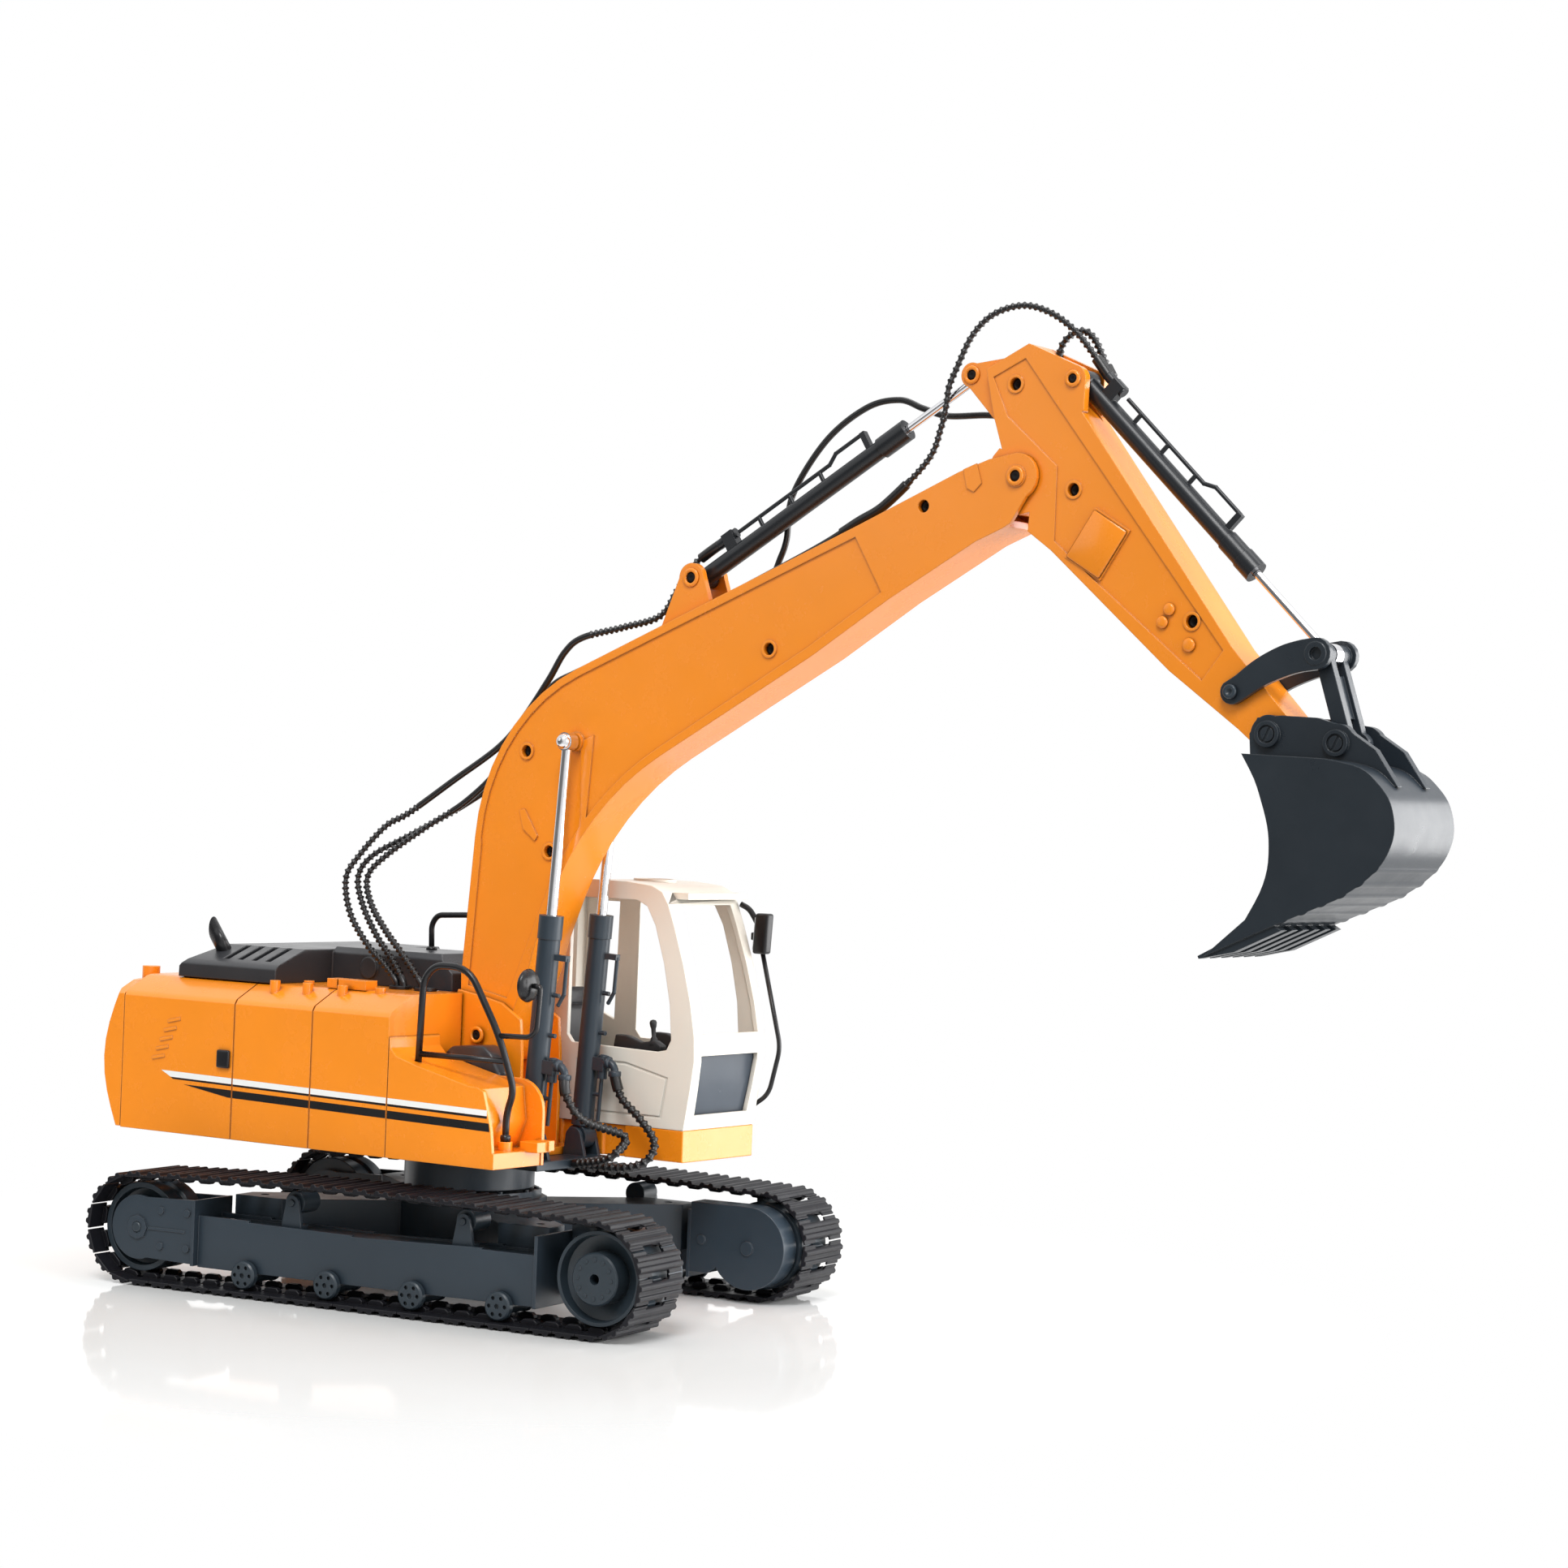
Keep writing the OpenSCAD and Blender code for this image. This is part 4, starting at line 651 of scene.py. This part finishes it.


# ribbed and sleeved stretches are fractions of the length; turn is the line where a hose passes from one body to the
# next, and a hose with a turn is left unattached
DECK_TURN = ((-20, -30, 142), (-20, -30, 232))
HOSES = {
    "stick_hose": Hose("stick_hose", [(0.02, 0.36), (0.745, 0.965)], rib=1.8, sleeves=[(0.965, 1.0, 2.3)],
                       bodies=("house", "boom"), turn=DECK_TURN),
    "bucket_hose": Hose("bucket_hose", [(0.02, 0.42)], rib=1.8, bodies=("house", "boom"), turn=DECK_TURN),
    "boom_hose": Hose("boom_hose", [(0.04, 0.80)], rib=1.8, bodies=("house", "boom"), turn=DECK_TURN),
    "bucket_hose_upper": Hose(None, [(0.45, 0.965)], sleeves=[(0.30, 0.44, 2.1), (0.965, 1.0, 2.4)],
                              bodies=("boom", "stick"), turn=((250, -12, 375), (285, -8, 430))),
    "stick_cable": Hose("stick_cable", [], smooth=1.4, bodies=("boom", "stick"), turn=((215, 0, 398), (268, 0, 395))),
    "cylinder_hose_right": Hose("cylinder_hose_right", [(0.08, 0.97)], core=1.45, rib=2.2, smooth=1.9, pitch=3.1,
                                sleeves=[(0.0, 0.09, 2.5)], bodies=("house", "boom_cylinder_barrel_right"),
                                turn=((80, -20, 70), (80, -20, 98))),
    "cylinder_hose_left": Hose("cylinder_hose_left", [(0.08, 0.97)], core=1.45, rib=2.2, smooth=1.9, pitch=3.1,
                               sleeves=[(0.0, 0.09, 2.5)], bodies=("house", "boom_cylinder_barrel_left"),
                               turn=((80, 10, 70), (80, 10, 98))),
    "stick_hose_short": Hose(None, [(0.05, 0.88)], rib=1.8, sleeves=[(0.88, 1.0, 2.4)], bodies=("stick",)),
}


def hose_radius(kind, length):
    def radius_at(s):
        part = s / length
        for low, high, r in kind.sleeves:
            if low <= part <= high:
                return r * MM
        for low, high in kind.ribbed:
            if low <= part <= high:
                wave = 0.5 + 0.5 * math.cos(2 * math.pi * s / kind.pitch)
                return kind.core + (kind.rib - kind.core) * wave ** 2.5
        return kind.smooth
    return radius_at


def make_hoses(mats):
    for name, kind in HOSES.items():
        path = smooth_route([at(*p) for p in ROUTES[name]], kind.pitch / 9 if kind.ribbed else 1.0 * MM)
        length = path_length(path)
        verts, faces = tube_mesh(path, hose_radius(kind, length))
        hose = new_piece(name + "_piece", verts, faces, mats["hose"], kind.bodies[0], "black_hose", join=kind)
        if kind.node:
            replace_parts(hose, kind.node)
        with_pieces = []
        if name == "bucket_hose":
            end, before = path[-1], path[-6]
            profile = [(1.6, -5), (2.3, -4.6), (2.3, -3.4), (2.0, -3.2), (2.0, 3.2), (2.3, 3.4), (2.3, 4.6), (1.6, 5)]
            sleeve = lathe(profile, end, end - before, 24)
            with_pieces = [new_piece("hose_coupling", *sleeve, mats["black"], "boom", "black_plastic")]


# ---------- stripes and small pieces of the house ----------


def side_film(name, outline, mat, seams, y):
    """Flat film on a side wall, cut where it meets the upright seams."""
    out = y + math.copysign(0.06, y)
    verts, faces = [], []
    xs = sorted({p[0] for p in outline})
    edges = [xs[0], *[s for s in seams if xs[0] < s < xs[-1]], xs[-1]]
    gap = 0.45

    def limits(x):
        zs = []
        for (x0, z0), (x1, z1) in zip(outline, outline[1:] + outline[:1]):
            if x0 != x1 and min(x0, x1) - 1e-6 <= x <= max(x0, x1) + 1e-6:
                zs.append(z0 + (z1 - z0) * (x - x0) / (x1 - x0))
        return min(zs), max(zs)

    for a, b in zip(edges, edges[1:]):
        a = a + (gap if a in seams else 0)
        b = b - (gap if b in seams else 0)
        cuts = sorted({a, b, *[x for x in xs if a < x < b]})
        base = len(verts)
        for x in cuts:
            low, high = limits(x)
            verts += [at(x, y, low), at(x, y, high), at(x, out, high), at(x, out, low)]
        for i in range(len(cuts) - 1):
            p, q = base + 4 * i, base + 4 * (i + 1)
            faces += [(p + k, p + (k + 1) % 4, q + (k + 1) % 4, q + k) for k in range(4)]
        faces += [(base + 3, base + 2, base + 1, base),
                  tuple(base + 4 * (len(cuts) - 1) + k for k in range(4))]
    return new_piece(name, verts, faces, mat, "house", "black_plastic", smooth=False)


def make_stripes(mats):
    front, back = 68.6, 2.4
    right_seams, left_seams = (-81, -33.7, 11.7), (-75,)
    tip = [(-125.6, 95.1), (-119.6, 92.3)]
    line_tip = [(-119.6, 92.2), (-118, 91.4)]
    black_tip = [(-111.1, 89.4), (-83.6, 85.5)]
    for name, outline, mat, seams, y in (
            ("stripe_white", [*tip, (front, 89.5), (front, 92.0)], "white", right_seams, -SIDE_WALL),
            ("stripe_line", [*line_tip, (front, 88.4), (front + 0.1, 89.4)], "ink", right_seams, -SIDE_WALL),
            ("stripe_black", [*black_tip, (front + 1.8, 82.8), (front + 1.2, 86.4)], "ink", right_seams, -SIDE_WALL),
            ("stripe_white_left", [*tip, (back, 90.2), (back, 92.9)], "white", left_seams, SIDE_WALL),
            ("stripe_line_left", [*line_tip, (back, 89.1), (back, 90.1)], "ink", left_seams, SIDE_WALL),
            ("stripe_black_left", [*black_tip, (back, 83.9), (back, 87.4)], "ink", left_seams, SIDE_WALL)):
        side_film(name, outline, mats[mat], seams, y)


# ---------- small parts in the screw holes and eyes ----------


def outward(side):
    return Vector((0, side, 0))


def screw(name, x, z, y, side, r, body, mats):
    """Sunk screw head facing sideways, with a stepped socket, coloured near-black as painted shade of its hole."""
    rim = [(0, -1.2), (r * 0.22, -1.2), (r * 0.30, -0.5), (r * 0.52, -0.35), (r * 0.56, 0.0), (r * 0.86, -0.12),
           (r, -0.5), (r, -1.4)]
    new_piece(name, *lathe(rim, at(x, y, z), outward(side)), mats["hollow"], body, "black_plastic")


def eye(name, p, y, side, ring, mat, slot, body, mats):
    """Raised ring round a pin with the end of the pin sunk inside it, coloured near-black as painted shade."""
    inner, outer, height = ring
    shape = [(inner, -0.3), (inner, height - 0.3), (inner + 0.3, height), (outer - 0.4, height), (outer, height - 0.4),
             (outer, -0.3)]
    new_piece(name + "_ring", *lathe(shape, at(p[0], y, p[1]), outward(side)), mats[mat], body, slot)
    core = [(0, 0.1), (inner * 0.3, 0.1), (inner * 0.42, 0.35), (inner * 0.72, 0.35), (inner * 0.8, 0.12),
            (inner - 0.02, 0.05), (inner - 0.02, -0.3)]
    new_piece(name + "_pin", *lathe(core, at(p[0], y, p[1]), outward(side)), mats["hollow"], body, "black_plastic")


def make_fasteners(mats):
    for side, word in ((-1, "right"), (1, "left")):
        face = BOOM_MID + side * BOOM_HALF
        for i, (x, z) in enumerate([(40.4, 248.6), (55.2, 204), (170.5, 295.4), (246, 355.4)]):
            screw(f"boom_screw_{word}_{i + 1}", x, z, face - side * 2.2, side, 2.55, "boom", mats)
        face = BOOM_MID + side * STICK_HALF
        for i, (x, z) in enumerate([(286.6, 405.2), (315.6, 361.2), (371.6, 307.8)]):
            screw(f"stick_screw_{word}_{i + 1}", x, z, face - side * 2.2, side, 2.55, "stick", mats)
        for name, place, out, ring, body in (
                ("stick_pivot", (290.2, 367), BOOM_HALF + 0.8, (2.4, 4.1, 0.9), "boom"),
                ("ear", (126, 326.5), 9.5, (2.5, 4.2, 1.0), "boom"),
                ("lug", (263.5, 410.2), 6.4, (2.2, 3.9, 0.9), "stick"),
                ("horn", (313.8, 406.4), STICK_HALF + 0.5, (2.0, 3.5, 0.8), "stick")):
            eye(f"{name}_{word}", place, BOOM_MID + side * out, side, ring, "orange", "orange_plastic", body, mats)
        cap = [(0, 0.5), (1.1, 0.5), (1.3, 1.3), (2.4, 1.3), (2.9, 0.9), (2.9, -0.2)]
        outline = [(326.2, 352.9), (341.7, 343.7), (329.3, 324.8), (313.8, 334)]
        plate = prism(outline, face + side * 0.1, face + side * 1.3, 0.8)
        new_piece("stick_plate_" + word, *plate, mats["orange"], "stick", "orange_plastic")
        knobs = ([], [])
        for x, z, r in ((361.5, 312.6, 2.5), (358.6, 307.4, 2.5), (370.8, 298.4, 2.8)):
            dome = [(r, -0.2), (r, 0.5), (r * 0.84, 0.95), (r * 0.5, 1.1), (0, 1.12)]
            grow(knobs, *lathe(dome, at(x, face, z), outward(side), 24))
        new_piece("stick_knobs_" + word, *knobs, mats["orange"], "stick", "orange_plastic")
        cap_place = at(392, BOOM_MID + side * (STICK_HALF + 4.4), 280)
        new_piece(f"rocker_cap_{word}", *lathe(cap, cap_place, outward(side)), mats["slate"], "stick", "slate_plastic")


# ---------- track shoes ----------

TRACK_TURN = math.radians(6.2)
WHEELBASE = 243.5
HUB_Z = 25.7
SHOE_IN = 23.1
TOP_RISE = 2.6
SHOES = 56
SHOE_MID = 74.5


def on_loop(s):
    """Place along the loop of shoes: x, z and the tilt of the outward direction in radians."""
    arc = math.pi * SHOE_IN
    half = WHEELBASE / 2
    if s < WHEELBASE:
        return s - half, HUB_Z - SHOE_IN, math.pi
    if s < WHEELBASE + arc:
        a = (s - WHEELBASE) / SHOE_IN - math.pi / 2
        return half + SHOE_IN * math.cos(a), HUB_Z + SHOE_IN * math.sin(a), math.pi / 2 - a
    if s < 2 * WHEELBASE + arc:
        u = half - (s - WHEELBASE - arc)
        return u, HUB_Z + SHOE_IN + TOP_RISE * (1 - (u / half) ** 2), math.atan(2 * TOP_RISE * u / half ** 2)
    a = (s - 2 * WHEELBASE - arc) / SHOE_IN + math.pi / 2
    return -half + SHOE_IN * math.cos(a), HUB_Z + SHOE_IN * math.sin(a), math.pi / 2 - a


def shoe_shape():
    """One shoe: web with a double-ridged bar across it, notched at both ends where the chain shows."""
    profile = [(-5.5, 0), (-3.9, 0), (3.9, 0), (5.5, 0), (5.5, 1.0), (3.9, 1.0), (3.3, 2.2), (2.8, 2.6), (1.5, 2.6),
               (0.9, 1.7), (-0.9, 1.7), (-1.5, 2.6), (-2.8, 2.6), (-3.3, 2.2), (-3.9, 1.0), (-5.5, 1.0)]
    cuts = (-18, -7.2, 7.2, 18)
    verts = [(x, y, z) for y in cuts for x, z in profile]
    ring = list(range(16))
    bar_ring = [1, 2, 5, 6, 7, 8, 9, 10, 11, 12, 13, 14]
    faces = []
    for level, loop in ((0, ring), (1, bar_ring), (2, ring)):
        base = 16 * level
        faces += [(base + a, base + b, base + b + 16, base + a + 16) for a, b in zip(loop, loop[1:] + loop[:1])]
    for base in (0, 48):
        faces += [(base, base + 1, base + 14, base + 15), (base + 2, base + 3, base + 4, base + 5),
                  tuple(base + k for k in (1, 2, 5, 6, 9, 10, 13, 14)), tuple(base + k for k in (6, 7, 8, 9)),
                  tuple(base + k for k in (10, 11, 12, 13))]
    for base in (16, 32):
        faces += [(base, base + 1, base + 14, base + 15), (base + 2, base + 3, base + 4, base + 5)]
    for y in (-9.5, 6.5):
        base = len(verts)
        side = [(-4.0, 0.1), (-4.0, -1.2), (-2.6, -2.3), (2.6, -2.3), (4.0, -1.2), (4.0, 0.1)]
        verts += [(x, y + dy, z) for dy in (0, 3) for x, z in side]
        faces += [tuple(base + k for k in range(6)), tuple(base + 6 + k for k in range(6))]
        faces += [(base + k, base + (k + 1) % 6, base + 6 + (k + 1) % 6, base + 6 + k) for k in range(6)]
    return verts, faces


def make_tracks(mats):
    pitch = (2 * WHEELBASE + 2 * math.pi * SHOE_IN) / SHOES
    verts, faces = shoe_shape()
    c, d = math.cos(TRACK_TURN), math.sin(TRACK_TURN)
    for word, side in (("right", -1), ("left", 1)):
        belt = ([], [])
        for i in range(SHOES):
            x0, z0, tilt = on_loop((i + 0.5) * pitch)
            placed = []
            for x, y, z in verts:
                px = x0 + x * math.cos(tilt) + z * math.sin(tilt)
                pz = z0 - x * math.sin(tilt) + z * math.cos(tilt)
                py = side * SHOE_MID + y
                placed.append(at(c * px - d * py, d * px + c * py, pz))
            grow(belt, placed, faces)
        shoes = new_piece("track_" + word, *belt, mats["track"], "undercarriage", "track_plastic", smooth=False)
        shoes.modifiers.new("round", "BEVEL").width = 0.22 * MM
        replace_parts(shoes, "track_shoes_" + word)


# ---------- rails, mirrors and small house parts ----------


def make_rails(mats):
    rail = ([], [])
    corners = [(23, -67, 106), (24.4, -67, 146), (31, -67, 152.6), (49, -66, 152.4), (65, -63, 123.6), (72, -60, 100),
               (67, -58.5, 90), (67, -58.5, 74.8)]
    grow(rail, *tube_mesh(bent([at(*p) for p in corners], 9), lambda s: 1.55 * MM))
    grow(rail, *tube_mesh([at(24, -67, 113), at(68.4, -61.6, 112.6)], lambda s: 1.35 * MM))
    stalk = [(65.4, -63, 123.7), (81, -62, 124), (84.6, -62, 127), (86, -62, 146), (82.6, -62, 146.4)]
    grow(rail, *tube_mesh(bent([at(*p) for p in stalk], 5), lambda s: 1.2 * MM))
    cuff = [(1.6, -1.2), (2.2, -1.0), (2.4, 0.6), (2.2, 1.6), (1.6, 1.9)]
    grow(rail, *lathe(cuff, at(67, -58.5, 78.6), (0, 0, 1)))
    shell = [(0, 3.6), (2.2, 3.5), (4.6, 2.9), (6.6, 1.7), (7.3, 0.5), (7.1, 0.0), (6.4, 0.1), (6.1, 0.5), (0, 0.6)]
    grow(rail, *lathe(shell, at(78.6, -62, 146.4), (1, 0, 0)))
    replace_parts(new_piece("front_rail", *rail, mats["black"], "house", "black_plastic"), "handrail_right")
    face = lathe([(0, 0.25), (6.0, 0.25), (6.05, 0.55)], at(78.6, -62, 146.4), (1, 0, 0))
    new_piece("front_mirror_face", *face, mats["mirror"], "house", "chrome_rod")
    corners = [(-34.5, 8, 154.6), (-35, 8, 166.5), (-31.5, 8, 171), (-12, 8, 172), (-8, 8, 167.5), (-7.5, 8, 154.6)]
    back = ([], [])
    grow(back, *tube_mesh(bent([at(*p) for p in corners], 6), lambda s: 1.35 * MM))
    for x in (-34.5, -7.5):
        grow(back, *lathe([(1.3, -0.2), (2.6, 0.0), (2.6, 0.9), (1.9, 1.5), (1.3, 1.6)], at(x, 8, 154.6), (0, 0, 1)))
    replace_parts(new_piece("hood_rail", *back, mats["black"], "house", "black_plastic"), "handrail_rear")


def make_cab_mirror(mats):
    y = 76.4
    side = ([], [])
    arm = [(95, 74, 182), (99, y - 1, 180), (103.4, y, 173.5), (104.6, y, 167)]
    grow(side, *tube_mesh(bent([at(*p) for p in arm], 4), lambda s: 1.35 * MM))
    guard = [(106.4, y, 161), (118.5, y, 117), (113, y, 95), (104.6, y, 89.4), (104.6, 74, 89.4)]
    grow(side, *tube_mesh(bent([at(*p) for p in guard], 5), lambda s: 1.1 * MM))

    def taper(p):
        lean = 0.06 * (p.z - 168)
        return Vector((p.x + lean, p.y, p.z))

    grow(side, *block((102.6, y - 2.6, 159.4), (110.2, y + 2.8, 178.2), 1.3, 4, taper))
    grow(side, *block((100.6, y - 1.6, 165.6), (104, y + 1.6, 169.2), 0.6))
    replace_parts(new_piece("cab_mirror", *side, mats["black"], "house", "black_plastic"), "mirror_left")
    glass = block((102.3, y - 1.9, 161.2), (102.75, y + 2.1, 176.2), 0.15, 1, taper)
    new_piece("cab_mirror_face", *glass, mats["mirror"], "house", "chrome_rod")


def make_exhaust(mats):
    """Slanted pipe, cut so that its upper edge ends in a point."""
    axis = Vector((-math.sin(math.radians(38)), 0, math.cos(math.radians(38))))
    u = Vector((axis.z, 0, -axis.x))
    v = Vector((0, 1, 0))
    foot = at(-114, -45, 148)
    rings = [(3.4, 1, 0), (3.4, 15.5, 4.8), (2.7, 15.5, 3.9), (2.5, 6, 0)]
    sides = 28
    verts, faces = [], []
    for r, h, lean in rings:
        for k in range(sides):
            c, d = math.cos(2 * math.pi * k / sides), math.sin(2 * math.pi * k / sides)
            verts.append(foot + MM * ((h + lean * c) * axis + r * (c * u + d * v)))
    for i in range(len(rings) - 1):
        for k in range(sides):
            a, b = i * sides + k, i * sides + (k + 1) % sides
            faces.append((a, b, b + sides, a + sides))
    faces += [tuple(range(sides)), tuple(range(3 * sides, 4 * sides))]
    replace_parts(new_piece("exhaust_pipe", verts, faces, mats["black"], "house", "black_plastic"), "exhaust")


def make_cab_interior(mats):
    seat = ([], [])
    grow(seat, *block((18, 31, 84.2), (80, 65, 85.4), 0.4, 2))
    grow(seat, *block((26, 34, 85.2), (52, 62, 92), 1.2, 2))
    grow(seat, *block((22, 32.6, 91.4), (56, 63.4, 99.6), 2.6, 3))
    def recline(p):
        return Vector((p.x - 0.05 * (p.z - 98), p.y, p.z))

    grow(seat, *block((17.6, 33.4, 98.6), (26.4, 62.6, 131.8), 2.8, 3, recline))
    grow(seat, *block((16.2, 40, 131), (22.6, 56, 139.6), 2.2, 3))
    for y in (33, 63):
        console = [(56, 112), (57.6, 120.6), (64, 120.4), (72, 117.8), (80, 119.2), (84, 117), (83.6, 114.8),
                   (74, 112.6), (66, 111.6)]
        grow(seat, *prism(console, y - 2.2, y + 2.2, 0.7))
        grow(seat, *tube_mesh([at(70, y, 85), at(70, y, 114)], lambda s: 2.1 * MM))
        boot = [(2.6, 0), (2.2, 1.0), (2.3, 1.4), (1.6, 2.4), (1.7, 2.8), (1.0, 3.8), (1.1, 7.4), (1.5, 8.6),
                (1.7, 10.2), (1.3, 11.2), (0, 11.6)]
        grow(seat, *lathe(boot, at(78.4, y, 117), (-0.10, 0, 1), 20))
    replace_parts(new_piece("cab_seat", *seat, mats["seat"], "house", "black_plastic"), "cab_controls")


def make_hose_elbows(mats):
    """Angle pieces that carry the short hoses out of the connectors on the boom cylinders."""
    for word, y in (("right", BOOM_MID - 18.4), ("left", BOOM_MID + 18.4)):
        elbow = ([], [])
        corners = [(66.2, y, 109), (71.2, y, 109.6), (73.8, y, 106.6), (73.7, y, 102.6)]
        grow(elbow, *tube_mesh(bent([at(*p) for p in corners], 2.2), lambda s: 1.8 * MM))
        nut = [(1.8, -1.4), (2.8, -1.2), (3.0, -0.8), (3.0, 0.8), (2.8, 1.2), (1.8, 1.4)]
        grow(elbow, *lathe(nut, at(73.7, y, 104.4), (0, 0, 1), 6))
        grow(elbow, *lathe(nut, at(69.6, y, 109.4), (1, 0, 0.1), 6))
        block_end = [(0, -3.2), (1.9, -3.1), (2.2, -2.7), (2.2, 2.4), (1.6, 3.4), (0, 3.6)]
        grow(elbow, *lathe(block_end, at(66.9, y, 109.2), (0.07, 0, 1), 24))
        new_piece("hose_elbow_" + word, *elbow, mats["slate"], "boom_cylinder_barrel_" + word, "slate_plastic")


def make_house_parts(mats):
    latch = ([], [])
    grow(latch, *block((-90.2, -75.7, 98.8), (-82.6, -73.9, 107.1), 0.85, 3))
    new_piece("panel_latch", *latch, mats["black"], "house", "black_plastic")
    cover = prism([(16, 97), (14.4, 112), (18, 115), (36, 116.4), (41, 113), (46, 104.4), (46, 97)], -38.6, -27.5, 1.3)
    new_piece("valve_cover", *cover, mats["hood"], "house", "black_plastic")
    foot_y = BOOM_MID - BOOM_HALF - 4.4
    eye("boom_foot_right", (21.5, 119.7), foot_y, -1, (2.3, 3.9, 0.8), "orange", "orange_plastic", "house", mats)


# ---------- assemble ----------

make_camera()
make_studio()
make_floor()
mats = make_materials()
dress_frame(mats)
make_hoses(mats)
make_stripes(mats)
make_fasteners(mats)
make_tracks(mats)
make_rails(mats)
make_cab_mirror(mats)
make_exhaust(mats)
make_cab_interior(mats)
make_house_parts(mats)
make_hose_elbows(mats)
